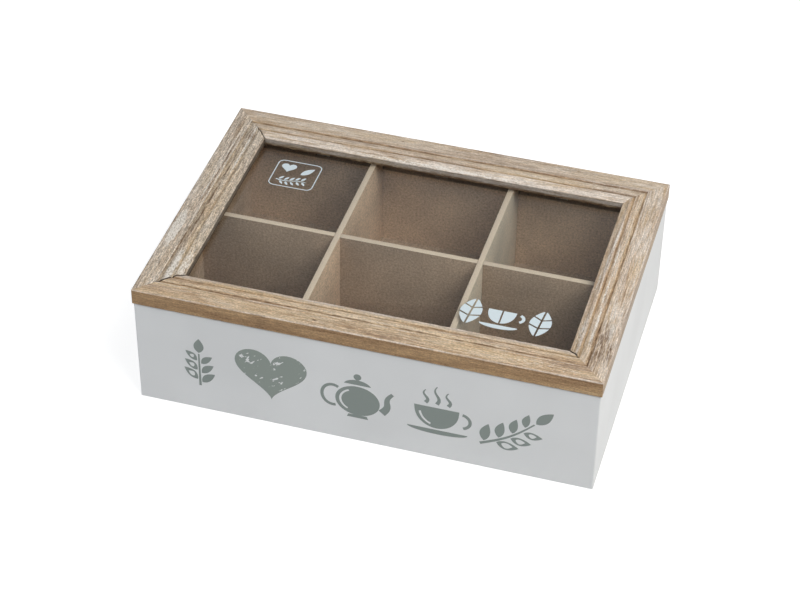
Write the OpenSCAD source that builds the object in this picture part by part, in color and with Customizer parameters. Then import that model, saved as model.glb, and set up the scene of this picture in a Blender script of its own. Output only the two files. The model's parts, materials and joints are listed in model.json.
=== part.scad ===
// Tea bag organizer box: a painted box with six compartments and a hinged lid
// whose mitred wooden moulding holds a pane of glass.
// Millimetres, +Z up. The front faces -Y, and the origin is on the table under
// the middle of the lid.

/* [Lid] */
// Width of the lid, left to right
lid_w = 240; // [200:1:320]
// Depth of the lid, front to back
lid_d = 165; // [140:1:240]
// Width of the lid's moulding
rail_w = 20.9; // [19:0.1:30]
// Height of the moulding at its outer edge
rail_h = 8.9; // [8.5:0.1:14]
// Seam between the closed lid and the box
lid_gap = 0.3; // [0.2:0.1:1]
// How far the lid stands out past the box at the front and sides
overhang = 0.6; // [0:0.1:3]
// Radius of the lid's eased edges
lid_edge_r = 0.5; // [0.3:0.1:1.5]

/* [Moulding] */
// Width of the flat band along the outer edge
band_w = 9.9; // [8:0.1:10.1]
// Width of the fine groove between the band and the bead
line_w = 1.2; // [0.3:0.1:1.4]
// Depth of the fine groove
line_depth = 0.5; // [0.3:0.1:1]
// Width of the bead
bead_w = 4.1; // [2:0.1:4.3]
// Height of the bead's crown above the bottom of the fine groove
bead_rise = 0.45; // [0.3:0.05:0.9]
// Height of the bead's sides above the bottom of the fine groove
bead_step = 0.15; // [0.1:0.05:0.25]
// Width of the groove between the bead and the ridge
quirk_w = 1; // [0.5:0.1:1.2]
// Depth of the groove below the band
quirk_depth = 1.1; // [0.8:0.1:2]
// Width of the ridge beside the cove
ridge_w = 1.3; // [0.8:0.1:1.5]
// How far the ridge lies below the band
ridge_drop = 0.3; // [0:0.1:0.7]
// How far the glass opening's edge lies below the band
sight_drop = 2; // [1.2:0.1:3]
// How far the cove hollows in from a straight slope
cove_sag = 0.2; // [0.1:0.05:0.8]

/* [Glass] */
// Thickness of the glass
glass_t = 2; // [1.5:0.1:3]
// Width of the rebate that the glass lies in
rebate_w = 5; // [3:0.5:6]
// Space between the glass and the rebate's side
glass_clear = 0.5; // [0.2:0.1:1]
// Thickness of the glazing points
point_t = 0.4; // [0.3:0.05:0.8]
// Width of a glazing point
point_w = 7; // [4:0.5:12]
// How far a glazing point goes into the moulding
point_bite = 3.5; // [2:0.5:5]
// How far a glazing point reaches under the glass
point_reach = 3.8; // [2:0.1:4.5]
// Wood left below a glazing point
point_lift = 0.3; // [0.2:0.1:1]

/* [Box] */
// Height of the box without its lid
body_h = 62; // [45:1:120]
// Thickness of the four walls
wall_t = 6; // [5:0.5:9]
// Depth of the rabbets that hold the side walls' ends
rabbet_depth = 3; // [2:0.5:4]
// Radius of the box's eased edges
body_edge_r = 0.8; // [0.3:0.1:1.5]
// Thickness of the bottom panel
floor_t = 3; // [2:0.5:6]
// How far the bottom panel lies under the walls
floor_lap = 3.5; // [2.5:0.5:4]
// Space around the bottom panel's edge
floor_clear = 0.15; // [0.1:0.05:0.5]

/* [Dividers] */
// Thickness of the dividers
divider_t = 3; // [2:0.5:5]
// How far the dividers' tops lie below the walls' tops
divider_drop = 0.5; // [0:0.1:10]
// Depth of the walls' grooves for the dividers
groove_depth = 2; // [1:0.5:3]
// Space beside a divider in its groove or lap joint
divider_clear = 0.1; // [0.05:0.05:0.4]

/* [Hinges] */
// Length of a hinge
hinge_l = 25; // [18:1:40]
// From the lid's side to the middle of the hinge
hinge_inset = 50; // [25:1:70]
// From the pin's middle to the far edge of a leaf
leaf_h = 7.8; // [6.5:0.1:7.9]
// Thickness of a leaf
leaf_t = 0.8; // [0.6:0.05:1]
// Outside diameter of the knuckles
knuckle_d = 3.2; // [2.8:0.1:4]
// Diameter of the hinge pin
hinge_pin_d = 1.5; // [1:0.1:1.8]
// Radial space around the hinge pin
pin_clear = 0.05; // [0.02:0.01:0.09]
// Space between neighbouring knuckles, and between a knuckle and the other leaf
knuckle_gap = 0.25; // [0.15:0.05:0.5]
// Space between the knuckles and the wood behind them
knuckle_clear = 0.1; // [0.05:0.05:0.4]

/* [Fasteners] */
// Diameter of the brads
brad_d = 1.2; // [0.8:0.1:1.6]
// Diameter of the brads' heads
brad_head_d = 2; // [1.7:0.1:2.4]
// Height of the brads' heads
brad_head_h = 0.5; // [0.3:0.1:1]
// Length of the brads at the corners
wall_brad_l = 14; // [10:1:20]
// Length of the brads in the bottom panel
bottom_brad_l = 12; // [8:1:20]
// How far the brads are set below the surface
brad_set = 0.5; // [0.3:0.1:1]
// From the walls' top and bottom edges to the outer corner brads
brad_margin = 10; // [6:1:20]
// Diameter of the hinge screws
screw_d = 1.6; // [1.2:0.1:2]
// Diameter of the hinge screws' heads
screw_head_d = 3; // [2.4:0.1:3.4]
// Height of the hinge screws' heads
screw_head_h = 0.6; // [0.4:0.05:0.6]
// Length of the hinge screws
screw_l = 5.5; // [4:0.5:6]
// From the hinge's end to the middle of a screw
screw_inset = 5; // [3:0.5:8]
// From the pin's middle to the middle of a screw
screw_rise = 4.8; // [4.2:0.1:5.5]
// Length of each leg of a mitre nail
mitre_leg = 5; // [3:0.5:7]
// Thickness of a mitre nail
mitre_nail_t = 0.5; // [0.3:0.1:1]
// Height of a mitre nail
mitre_nail_h = 5; // [3:0.5:6]
// From the lid's outer edges to the corner of a mitre nail
mitre_inset = 6; // [4:0.5:9]
// Space around a driven nail, brad, screw or glazing point
nail_fit = 0.03; // [0.02:0.01:0.1]

/* [Hidden] */
$fn = 48;

// How far a cut runs out past a face
over = 1;

// Box outline. The back of the box is flush with the back of the lid.
back_y = lid_d / 2;
body_w = lid_w - 2 * overhang;
body_d = lid_d - overhang;
front_y = back_y - body_d;
body_mid_y = (front_y + back_y) / 2;
inner_x = body_w / 2 - wall_t;
inner_d = body_d - 2 * wall_t;

// Compartments: three across and two deep
cell_w = (2 * inner_x - 2 * divider_t) / 3;
cell_d = (inner_d - divider_t) / 2;
cell_pitch_x = cell_w + divider_t;
cell_pitch_y = cell_d + divider_t;
cross_x = cell_pitch_x / 2;
divider_top = body_h - divider_drop;
lap_z = (floor_t + divider_top) / 2;

// Lid
lid_z = body_h + lid_gap;
line_x = band_w;
bead_x = line_x + line_w;
quirk_x = bead_x + bead_w;
ridge_x = quirk_x + quirk_w;
cove_x = ridge_x + ridge_w;
rebate_h = point_lift + point_t + glass_t;
sight_w = lid_w - 2 * rail_w;
sight_d = lid_d - 2 * rail_w;
points_front = 3;
points_side = 2;

// Hinges
knuckles = 3;
axis_y = back_y + knuckle_d / 2 + knuckle_clear;
axis_z = body_h + lid_gap / 2;
wood_y = -knuckle_d / 2 - knuckle_clear;
leaf_root = knuckle_d / 2 + knuckle_gap;
hinge_x = lid_w / 2 - hinge_inset;
knuckle_pitch = hinge_l / knuckles;
screw_tip_h = 1;
screw_tip_d = 0.4;
screw_slot_w = 0.4;
screw_slot_depth = 0.25;
pilot_spare = 0.2;

// Brads: three up each corner
corner_brads = 3;
brad_pitch = (body_h - 2 * brad_margin) / (corner_brads - 1);

// ---- Shared shapes ----

// A rectangle about its middle with round corners
module rounded_rect(w, h, r) {
    square([w - 2 * r, h], center = true);
    square([w, h - 2 * r], center = true);
    for (x = [-1, 1], y = [-1, 1])
        translate([x * (w / 2 - r), y * (h / 2 - r)]) circle(r);
}

// The child, and its mirror image across the box's middle
module front_and_back() {
    children();
    translate([0, 2 * body_mid_y, 0]) mirror([0, 1, 0]) children();
}

module left_and_right() {
    children();
    mirror([1, 0, 0]) children();
}

// A brad from its head down, along +Z
module brad(length) {
    cylinder(d = brad_head_d, h = brad_head_h);
    cylinder(d = brad_d, h = length);
}

// The hole that a brad leaves. Its mouth is lead above the head.
module brad_hole(length, lead = 0) {
    translate([0, 0, -lead])
        cylinder(d = brad_head_d + 2 * nail_fit, h = lead + brad_head_h + nail_fit);
    cylinder(d = brad_d + 2 * nail_fit, h = length + nail_fit);
}

// ---- Box ----

// The outside of the box as one block, with all its outer edges eased
module box_block() {
    translate([0, body_mid_y, body_h / 2]) intersection() {
        linear_extrude(body_h, center = true) rounded_rect(body_w, body_d, body_edge_r);
        rotate([90, 0, 0])
            linear_extrude(body_d, center = true) rounded_rect(body_w, body_h, body_edge_r);
        rotate([90, 0, 90])
            linear_extrude(body_w, center = true) rounded_rect(body_d, body_h, body_edge_r);
    }
}

// The room for the bottom panel in the walls' rebates
module floor_space() {
    translate([-inner_x - floor_lap, front_y + wall_t - floor_lap, -over])
        cube([2 * (inner_x + floor_lap), inner_d + 2 * floor_lap, over + floor_t]);
}

// The room that the dividers take up, with their grooves in the walls
module divider_space() {
    groove_w = divider_t + 2 * divider_clear;
    groove_h = body_h - floor_t + over;
    left_and_right()
        translate([cross_x - groove_w / 2, front_y + wall_t - groove_depth, floor_t])
            cube([groove_w, inner_d + 2 * groove_depth, groove_h]);
    translate([-inner_x - groove_depth, body_mid_y - groove_w / 2, floor_t])
        cube([2 * (inner_x + groove_depth), groove_w, groove_h]);
}

// The places of the brads in the two front corners
module at_front_corner_brads() {
    left_and_right()
        for (i = [0 : corner_brads - 1])
            translate([body_w / 2 - wall_t / 2, front_y + brad_set, brad_margin + i * brad_pitch])
                rotate([-90, 0, 0]) children();
}

// The places of the brads under the bottom panel, one for each compartment's wall
module at_bottom_brads() {
    front_and_back()
        for (i = [-1 : 1])
            translate([i * cell_pitch_x, front_y + wall_t - floor_lap / 2, brad_set]) children();
    left_and_right()
        for (i = [-1, 1])
            translate([inner_x + floor_lap / 2, body_mid_y + i * cell_pitch_y / 2, brad_set])
                children();
}

// The front wall's solid, which the back wall repeats
module long_wall() {
    end_depth = wall_t - rabbet_depth;
    difference() {
        intersection() {
            box_block();
            translate([-body_w / 2, front_y, 0]) cube([body_w, wall_t, body_h]);
        }
        left_and_right()
            translate([inner_x, front_y + end_depth, -over])
                cube([wall_t + over, rabbet_depth + over, body_h + 2 * over]);
        floor_space();
        divider_space();
        at_front_corner_brads() brad_hole(wall_brad_l);
        at_bottom_brads() brad_hole(bottom_brad_l, brad_set + over);
    }
}

// The right-hand wall's solid, which the left-hand wall mirrors
module side_wall() {
    end_depth = wall_t - rabbet_depth;
    difference() {
        intersection() {
            box_block();
            translate([inner_x, front_y + end_depth, 0])
                cube([wall_t, body_d - 2 * end_depth, body_h]);
        }
        floor_space();
        divider_space();
        front_and_back() at_front_corner_brads() brad_hole(wall_brad_l);
        at_bottom_brads() brad_hole(bottom_brad_l, brad_set + over);
    }
}

module front_wall() {
    color("gainsboro") long_wall();
}

module back_wall() {
    color("gainsboro") difference() {
        translate([0, 2 * body_mid_y, 0]) mirror([0, 1, 0]) long_wall();
        left_and_right() at_right_hinge() mirror([0, 0, 1]) pilot_holes();
    }
}

module left_wall() {
    color("gainsboro") mirror([1, 0, 0]) side_wall();
}

module right_wall() {
    color("gainsboro") side_wall();
}

module bottom_panel() {
    panel_w = 2 * (inner_x + floor_lap - floor_clear);
    panel_d = inner_d + 2 * (floor_lap - floor_clear);
    color("tan") difference() {
        translate([-panel_w / 2, body_mid_y - panel_d / 2, 0]) cube([panel_w, panel_d, floor_t]);
        at_bottom_brads() brad_hole(bottom_brad_l, brad_set + over);
    }
}

module wall_brads() {
    color("silver") front_and_back() at_front_corner_brads() brad(wall_brad_l);
}

module bottom_brads() {
    color("silver") at_bottom_brads() brad(bottom_brad_l);
}

// ---- Dividers ----

// From left to right, with slots that open upwards where it crosses the others
module long_divider() {
    length = 2 * (inner_x + groove_depth - divider_clear);
    slot_w = divider_t + 2 * divider_clear;
    color("tan") difference() {
        translate([-length / 2, body_mid_y - divider_t / 2, floor_t])
            cube([length, divider_t, divider_top - floor_t]);
        left_and_right()
            translate([cross_x - slot_w / 2, body_mid_y - divider_t / 2 - over, lap_z - divider_clear])
                cube([slot_w, divider_t + 2 * over, divider_top - lap_z + divider_clear + over]);
    }
}

// The right-hand divider from front to back, with a slot that opens downwards
module cross_divider() {
    length = inner_d + 2 * (groove_depth - divider_clear);
    slot_w = divider_t + 2 * divider_clear;
    difference() {
        translate([cross_x - divider_t / 2, body_mid_y - length / 2, floor_t])
            cube([divider_t, length, divider_top - floor_t]);
        translate([cross_x - divider_t / 2 - over, body_mid_y - slot_w / 2, floor_t - over])
            cube([divider_t + 2 * over, slot_w, lap_z + divider_clear - floor_t + over]);
    }
}

module left_cross_divider() {
    color("tan") mirror([1, 0, 0]) cross_divider();
}

module right_cross_divider() {
    color("tan") cross_divider();
}

// ---- Lid moulding ----

// Cross-section of the moulding: x runs in from the outer edge, y up from the underside
module rail_profile() {
    bead_y = rail_h - line_depth;
    ridge_y = rail_h - ridge_drop;
    sight_y = rail_h - sight_drop;
    // The bead is a shallow arc of this radius
    bead_sag = bead_rise - bead_step;
    bead_r = (pow(bead_w / 2, 2) + pow(bead_sag, 2)) / (2 * bead_sag);
    // So is the cove, hollowed from the straight line between the ridge and the opening
    cove_run = [rail_w - cove_x, sight_y - ridge_y];
    cove_len = norm(cove_run);
    cove_r = (pow(cove_len / 2, 2) + pow(cove_sag, 2)) / (2 * cove_sag);
    cove_mid = [cove_x, ridge_y] + cove_run / 2;
    cove_up = [-cove_run[1], cove_run[0]] / cove_len;
    difference() {
        union() {
            polygon([
                [0, 0], [rail_w - rebate_w, 0], [rail_w - rebate_w, rebate_h],
                [rail_w, rebate_h], [rail_w, sight_y], [cove_x, ridge_y], [ridge_x, ridge_y],
                [ridge_x, rail_h - quirk_depth], [quirk_x, rail_h - quirk_depth],
                [quirk_x, bead_y], [line_x, bead_y], [line_x, rail_h], [0, rail_h]
            ]);
            intersection() {
                translate([bead_x + bead_w / 2, bead_y + bead_rise - bead_r]) circle(bead_r);
                translate([bead_x, bead_y - over / 2]) square([bead_w, over / 2 + bead_rise + over]);
            }
        }
        translate(cove_mid + cove_up * (cove_r - cove_sag)) circle(cove_r);
        for (y = [0, rail_h]) edge_cut(y);
    }
}

// What easing takes off the moulding's outer edge at the given height
module edge_cut(y) {
    inward = y > 0 ? -1 : 1;
    translate([0, y]) difference() {
        translate([-over, inward > 0 ? -over : -lid_edge_r])
            square([over + lid_edge_r, over + lid_edge_r]);
        translate([lid_edge_r, inward * lid_edge_r]) circle(lid_edge_r);
    }
}

// A glazing point seen from above, pointing into the moulding along -Y
module point_outline(fit = 0) {
    wide = point_w / 2 + fit;
    shoulder = -point_bite / 3;
    polygon([
        [-wide, point_reach + fit], [wide, point_reach + fit], [wide, shoulder - fit],
        [0, -point_bite - fit], [-wide, shoulder - fit]
    ]);
}

// The glazing points of one length of moulding
module at_points(run, count) {
    pitch = (run - 2 * rail_w) / count;
    for (i = [0 : count - 1])
        translate([(i - (count - 1) / 2) * pitch, rail_w - rebate_w, point_lift]) children();
}

// A mitre nail seen from above at a right-hand corner, with a leg in each moulding
module mitre_nail_outline(fit = 0) {
    half = mitre_nail_t / 2 + fit;
    translate([-mitre_leg - fit, -half]) square([mitre_leg + fit + half, 2 * half]);
    translate([-half, -half]) square([2 * half, mitre_leg + fit + half]);
}

// One mitred length of moulding along the front, its outer edge at y = 0
module rail(run, count) {
    difference() {
        intersection() {
            translate([-run / 2, 0, 0]) rotate([90, 0, 90]) linear_extrude(run) rail_profile();
            linear_extrude(rail_h) intersection() {
                polygon([
                    [-run / 2, 0], [run / 2, 0],
                    [run / 2 - rail_w, rail_w], [-run / 2 + rail_w, rail_w]
                ]);
                translate([0, run / 2]) rounded_rect(run, run, lid_edge_r);
            }
        }
        left_and_right()
            translate([run / 2 - mitre_inset, mitre_inset, -over])
                linear_extrude(over + mitre_nail_h + nail_fit) mitre_nail_outline(nail_fit);
        at_points(run, count)
            translate([0, 0, -nail_fit])
                linear_extrude(point_t + 2 * nail_fit) point_outline(nail_fit);
    }
}

// Turns what is made along the front to the given side: front, right, back, left
module to_side(side) {
    reach = (side % 2 == 0 ? lid_d : lid_w) / 2;
    translate([0, 0, lid_z]) rotate([0, 0, 90 * side]) translate([0, -reach, 0]) children();
}

module lid_front_rail() {
    color("burlywood") to_side(0) rail(lid_w, points_front);
}

module lid_right_stile() {
    color("burlywood") to_side(1) rail(lid_d, points_side);
}

module lid_back_rail() {
    color("burlywood") difference() {
        to_side(2) rail(lid_w, points_front);
        left_and_right() at_right_hinge() pilot_holes();
    }
}

module lid_left_stile() {
    color("burlywood") to_side(3) rail(lid_d, points_side);
}

module mitre_nails() {
    color("silver") for (side = [0 : 3]) to_side(side)
        translate([(side % 2 == 0 ? lid_w : lid_d) / 2 - mitre_inset, mitre_inset, 0])
            linear_extrude(mitre_nail_h) mitre_nail_outline();
}

// ---- Glass ----

module glass_pane() {
    lap = rebate_w - glass_clear;
    color("lightblue", 0.35)
        translate([-sight_w / 2 - lap, -sight_d / 2 - lap, lid_z + rebate_h - glass_t])
            cube([sight_w + 2 * lap, sight_d + 2 * lap, glass_t]);
}

module glazing_points() {
    color("silver") for (side = [0 : 3]) to_side(side)
        at_points(side % 2 == 0 ? lid_w : lid_d, side % 2 == 0 ? points_front : points_side)
            linear_extrude(point_t) point_outline();
}

// ---- Hinges ----

// The right-hand hinge: the pin lies along X at the origin, and the wood behind it is
// the plane y = wood_y
module at_right_hinge() {
    translate([hinge_x, axis_y, axis_z]) children();
}

// The places of the two screws in the upper leaf, at the leaf's outer face
module at_leaf_screws() {
    for (x = [-1, 1])
        translate([x * (hinge_l / 2 - screw_inset), wood_y + leaf_t, screw_rise])
            rotate([-90, 0, 0]) children();
}

module pilot_holes() {
    at_leaf_screws()
        translate([0, 0, -screw_l - pilot_spare])
            cylinder(d = screw_d + 2 * nail_fit, h = screw_l + pilot_spare);
}

// A countersunk screw from its head's top down
module screw() {
    difference() {
        union() {
            translate([0, 0, -screw_head_h])
                cylinder(d1 = screw_d, d2 = screw_head_d, h = screw_head_h);
            translate([0, 0, screw_tip_h - screw_l])
                cylinder(d = screw_d, h = screw_l - screw_tip_h - screw_head_h);
            translate([0, 0, -screw_l]) cylinder(d1 = screw_tip_d, d2 = screw_d, h = screw_tip_h);
        }
        translate([-screw_head_d / 2 - over, -screw_slot_w / 2, -screw_slot_depth])
            cube([screw_head_d + 2 * over, screw_slot_w, screw_slot_depth + over]);
    }
}

// The hole that a screw needs in a leaf
module screw_hole() {
    translate([0, 0, -screw_head_h])
        cylinder(d1 = screw_d + 2 * nail_fit, d2 = screw_head_d + 2 * nail_fit, h = screw_head_h);
    translate([0, 0, -leaf_t - over]) cylinder(d = screw_d + 2 * nail_fit, h = leaf_t + over);
    cylinder(d = screw_head_d + 2 * nail_fit, h = over);
}

// A leaf that stands up from the pin. It holds the knuckles in the list own.
module leaf(own) {
    difference() {
        union() {
            translate([-hinge_l / 2, wood_y, leaf_root]) cube([hinge_l, leaf_t, leaf_h - leaf_root]);
            for (i = own) {
                first = i == 0 ? 0 : knuckle_gap / 2;
                last = i == knuckles - 1 ? 0 : knuckle_gap / 2;
                translate([i * knuckle_pitch - hinge_l / 2 + first, 0, 0]) {
                    length = knuckle_pitch - first - last;
                    rotate([0, 90, 0]) cylinder(d = knuckle_d, h = length);
                    translate([0, wood_y, 0]) cube([length, leaf_t, leaf_h]);
                }
            }
        }
        rotate([0, 90, 0])
            cylinder(d = hinge_pin_d + 2 * pin_clear, h = hinge_l + 2 * over, center = true);
        at_leaf_screws() screw_hole();
    }
}

module hinge_pin() {
    rotate([0, 90, 0]) cylinder(d = hinge_pin_d, h = hinge_l, center = true);
}

module right_hinge_upper_leaf() {
    color("goldenrod") at_right_hinge() leaf([0, 2]);
}

module right_hinge_lower_leaf() {
    color("goldenrod") at_right_hinge() mirror([0, 0, 1]) leaf([1]);
}

module right_hinge_pin() {
    color("darkgoldenrod") at_right_hinge() hinge_pin();
}

module left_hinge_upper_leaf() {
    color("goldenrod") mirror([1, 0, 0]) at_right_hinge() leaf([0, 2]);
}

module left_hinge_lower_leaf() {
    color("goldenrod") mirror([1, 0, 0]) at_right_hinge() mirror([0, 0, 1]) leaf([1]);
}

module left_hinge_pin() {
    color("darkgoldenrod") mirror([1, 0, 0]) at_right_hinge() hinge_pin();
}

module upper_hinge_screws() {
    color("gold") left_and_right() at_right_hinge() at_leaf_screws() screw();
}

module lower_hinge_screws() {
    color("gold") left_and_right() at_right_hinge() mirror([0, 0, 1]) at_leaf_screws() screw();
}

front_wall();
back_wall();
left_wall();
right_wall();
bottom_panel();
long_divider();
left_cross_divider();
right_cross_divider();
wall_brads();
bottom_brads();
left_hinge_lower_leaf();
right_hinge_lower_leaf();
left_hinge_pin();
right_hinge_pin();
lower_hinge_screws();
lid_front_rail();
lid_back_rail();
lid_left_stile();
lid_right_stile();
glass_pane();
glazing_points();
mitre_nails();
left_hinge_upper_leaf();
right_hinge_upper_leaf();
upper_hinge_screws();
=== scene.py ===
"""Tea bag organizer box: its finishes, worn mouldings, printed motifs and studio.

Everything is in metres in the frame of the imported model: +Z is up, the front faces -Y, and
the origin is on the table under the middle of the lid. Sizes named here in millimetres are
turned to metres by MM where a mesh is made.
"""

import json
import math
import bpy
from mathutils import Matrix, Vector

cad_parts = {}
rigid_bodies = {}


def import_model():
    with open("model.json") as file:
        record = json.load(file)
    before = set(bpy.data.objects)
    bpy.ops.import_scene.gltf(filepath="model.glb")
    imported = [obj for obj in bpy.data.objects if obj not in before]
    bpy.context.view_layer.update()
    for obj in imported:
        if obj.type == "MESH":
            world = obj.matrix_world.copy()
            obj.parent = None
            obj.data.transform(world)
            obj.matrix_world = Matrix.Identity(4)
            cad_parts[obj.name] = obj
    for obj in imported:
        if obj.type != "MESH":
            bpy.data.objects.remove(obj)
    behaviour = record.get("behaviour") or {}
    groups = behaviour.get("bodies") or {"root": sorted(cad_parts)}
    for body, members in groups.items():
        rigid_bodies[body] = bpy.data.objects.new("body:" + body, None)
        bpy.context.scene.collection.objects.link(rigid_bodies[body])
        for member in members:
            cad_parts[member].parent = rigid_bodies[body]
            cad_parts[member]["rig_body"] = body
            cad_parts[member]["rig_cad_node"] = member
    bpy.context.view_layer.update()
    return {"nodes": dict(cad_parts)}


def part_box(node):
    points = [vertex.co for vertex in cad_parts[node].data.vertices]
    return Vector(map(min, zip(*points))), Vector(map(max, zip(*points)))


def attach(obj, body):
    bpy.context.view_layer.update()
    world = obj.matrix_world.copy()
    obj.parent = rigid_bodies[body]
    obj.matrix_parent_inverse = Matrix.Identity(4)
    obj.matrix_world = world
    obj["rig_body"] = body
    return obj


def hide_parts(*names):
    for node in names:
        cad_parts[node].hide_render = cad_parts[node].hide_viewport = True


bl_info = {
    "name": "Tea bag organizer box",
    "version": (1, 0, 0),
    "blender": (4, 5, 0),
    "location": "View3D > Sidebar > Tea box",
    "description": "Dresses a glass-lidded tea bag organizer box in wood, paint, glass and print",
    "category": "Object",
}

from types import SimpleNamespace

import bpy
from bpy.props import FloatProperty, FloatVectorProperty, PointerProperty
from bpy.types import Operator, Panel, PropertyGroup
from mathutils import Matrix, Vector, noise

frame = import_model()

MM = 0.001
# Points nearer than this are one point: on a CAD node or a rail, and on a printed film
DOUBLES_GAP = 0.002 * MM
FILM_DOUBLES_GAP = 0.0005 * MM


# ---- Helpers ----


def linear(hex_colour):
    """An sRGB hex colour as linear red, green and blue, and an alpha of 1."""
    srgb = [int(hex_colour[i : i + 2], 16) / 255 for i in (1, 3, 5)]
    rgb = [c / 12.92 if c <= 0.04045 else ((c + 0.055) / 1.055) ** 2.4 for c in srgb]
    return (*rgb, 1.0)


def only(piece):
    """Deselects everything, then selects this piece alone."""
    bpy.ops.object.select_all(action="DESELECT")
    piece.select_set(True)
    bpy.context.view_layer.objects.active = piece


def add(tree, kind, sockets=None, stops=(), **settings):
    """Adds a shader node with its settings, and links or sets its sockets by name or number.

    A node as a socket's value stands for its first live output. The stops are those of a
    colour ramp, each a position and a colour or a grey level.
    """
    made = tree.nodes.new("ShaderNode" + kind)
    for name, value in settings.items():
        setattr(made, name, value)
    for i, (position, colour) in enumerate(stops):
        elements = made.color_ramp.elements
        element = elements[i] if i < len(elements) else elements.new(position)
        element.position = position
        element.color = (colour,) * 3 + (1.0,) if isinstance(colour, float) else colour
    for key, value in (sockets or {}).items():
        if isinstance(value, bpy.types.Node):
            value = next(output for output in value.outputs if output.enabled)
        if isinstance(value, bpy.types.NodeSocket):
            tree.links.new(value, made.inputs[key])
        else:
            made.inputs[key].default_value = value
    return made


def add_material(name):
    """An empty node material and its tree."""
    material = bpy.data.materials.new(name)
    material.use_nodes = True
    material.node_tree.nodes.clear()
    return material, material.node_tree


def wear(piece, material):
    """Gives a piece this one material."""
    piece.data.materials.clear()
    piece.data.materials.append(material)


def merged_copy(node, name):
    """A copy of a CAD node as one welded mesh of flat faces, which then stands for the node."""
    only(frame["nodes"][node])
    bpy.ops.object.duplicate()
    piece = bpy.context.object
    piece.name = piece.data.name = name
    piece.parent = None
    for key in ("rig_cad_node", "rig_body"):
        del piece[key]
    bpy.ops.object.mode_set(mode="EDIT")
    bpy.ops.mesh.select_all(action="SELECT")
    bpy.ops.mesh.remove_doubles(threshold=DOUBLES_GAP)
    bpy.ops.mesh.dissolve_limited(angle_limit=math.radians(0.5))
    bpy.ops.object.mode_set(mode="OBJECT")
    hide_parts(node)
    return piece


def ease_edges(piece, width, steps=2):
    """Rounds a piece's sharp edges by width."""
    only(piece)
    bevel = piece.modifiers.new("eased edges", "BEVEL")
    bevel.width = width
    bevel.segments = steps
    bevel.limit_method = "ANGLE"
    bevel.angle_limit = math.radians(30)
    bevel.harden_normals = False
    bpy.ops.object.modifier_apply(modifier=bevel.name)
    bpy.ops.object.shade_smooth_by_angle(angle=math.radians(35))


# ---- Sizes ----

# Boxes of the CAD nodes, read from the frame in metres
LID_LOW, LID_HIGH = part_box("lid_front_rail")
STILE_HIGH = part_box("lid_right_stile")[1]
GLASS_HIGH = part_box("glass_pane")[1]
FRONT_LOW, FRONT_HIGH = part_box("front_wall")
BACK_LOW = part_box("back_wall")[0]
RIGHT_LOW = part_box("right_wall")[0]
DIVIDER_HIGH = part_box("long_divider")[1]

# The lid's half length and half depth, and its moulding, in millimetres
LID_REACH = (STILE_HIGH.x / MM, -LID_LOW.y / MM)
RAIL_W = (LID_HIGH.y - LID_LOW.y) / MM
RAIL_H = (LID_HIGH.z - LID_LOW.z) / MM

# Members of the moulding, in millimetres from the outer edge in and from the underside up
BAND_W = 9.9
LINE_W = 1.2
BEAD_W = 4.1
QUIRK_W = 1.0
RIDGE_W = 1.3
LINE_Y = RAIL_H - 0.5
QUIRK_Y = RAIL_H - 1.1
RIDGE_Y = RAIL_H - 0.3
SIGHT_Y = RAIL_H - 2.0
BEAD_STEP = 0.15
BEAD_RISE = 0.45
COVE_SAG = 0.2
REBATE_W = 5.0
# The glass lies against the rebate, and the nails' ends lie flush with the underside
REBATE_Y = (GLASS_HIGH.z - LID_LOW.z) / MM + 0.04
UNDERSIDE_Y = 0.03
EASED_R = 0.35


# ---- Settings ----


def colour_setting(name, description, hex_colour):
    """A colour that a user may change."""
    return FloatVectorProperty(
        name=name, description=description, subtype="COLOR", size=4, default=linear(hex_colour)
    )


def size_setting(name, description, millimetres):
    """A size that a user may change, held in metres."""
    return FloatProperty(
        name=name,
        description=description,
        subtype="DISTANCE",
        unit="LENGTH",
        precision=5,
        default=millimetres * MM,
    )


class WoodSettings(PropertyGroup):
    """Colours of the limewashed moulding"""

    light: colour_setting("Light wood", "Palest streaks of the bare softwood", "#CBB08A")
    middle: colour_setting("Middle wood", "Most of the bare softwood", "#B4936C")
    dark: colour_setting("Dark wood", "Darkest streaks of the bare softwood", "#8C6C4C")
    grey: colour_setting("Grey wood", "Bare wood gone grey with age", "#A79E90")
    # Dirt, also used as painted shade in the grooves and at the seat of the glass
    dirt_and_shade: colour_setting("Dirt", "Dirt in the grooves and stains in the wood", "#6A5038")
    # Painted shade on the edge beside the glass, and grime in the open mitres
    shade_and_grime: colour_setting("Grime", "Old grime on the edges beside the glass", "#32281E")
    wash: colour_setting("Limewash", "Thin white wash rubbed into the moulding", "#DCD0C4")
    # Thick wash, also used as painted highlight along the crowns of the beads and ridges
    chalk_and_highlights: colour_setting("Thick wash", "White wash where it was left thick", "#ECE7DF")


class BoardSettings(PropertyGroup):
    """Colours of the painted and the bare fibreboard"""

    paint: colour_setting("Paint", "White satin paint outside", "#EDEEEE")
    face: colour_setting("Board face", "Pressed face of the brown fibreboard", "#C4A98F")
    edge: colour_setting("Board edge", "Sawn edge of the fibreboard", "#E2CFBA")
    # A pale haze over the bare board: a painted reflection of the glass
    painted_haze: colour_setting("Dust", "Pale dust on the fibreboard", "#CBD7CE")
    ease: size_setting("Eased edges", "Rounding of the bare boards' edges", 0.18)


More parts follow.
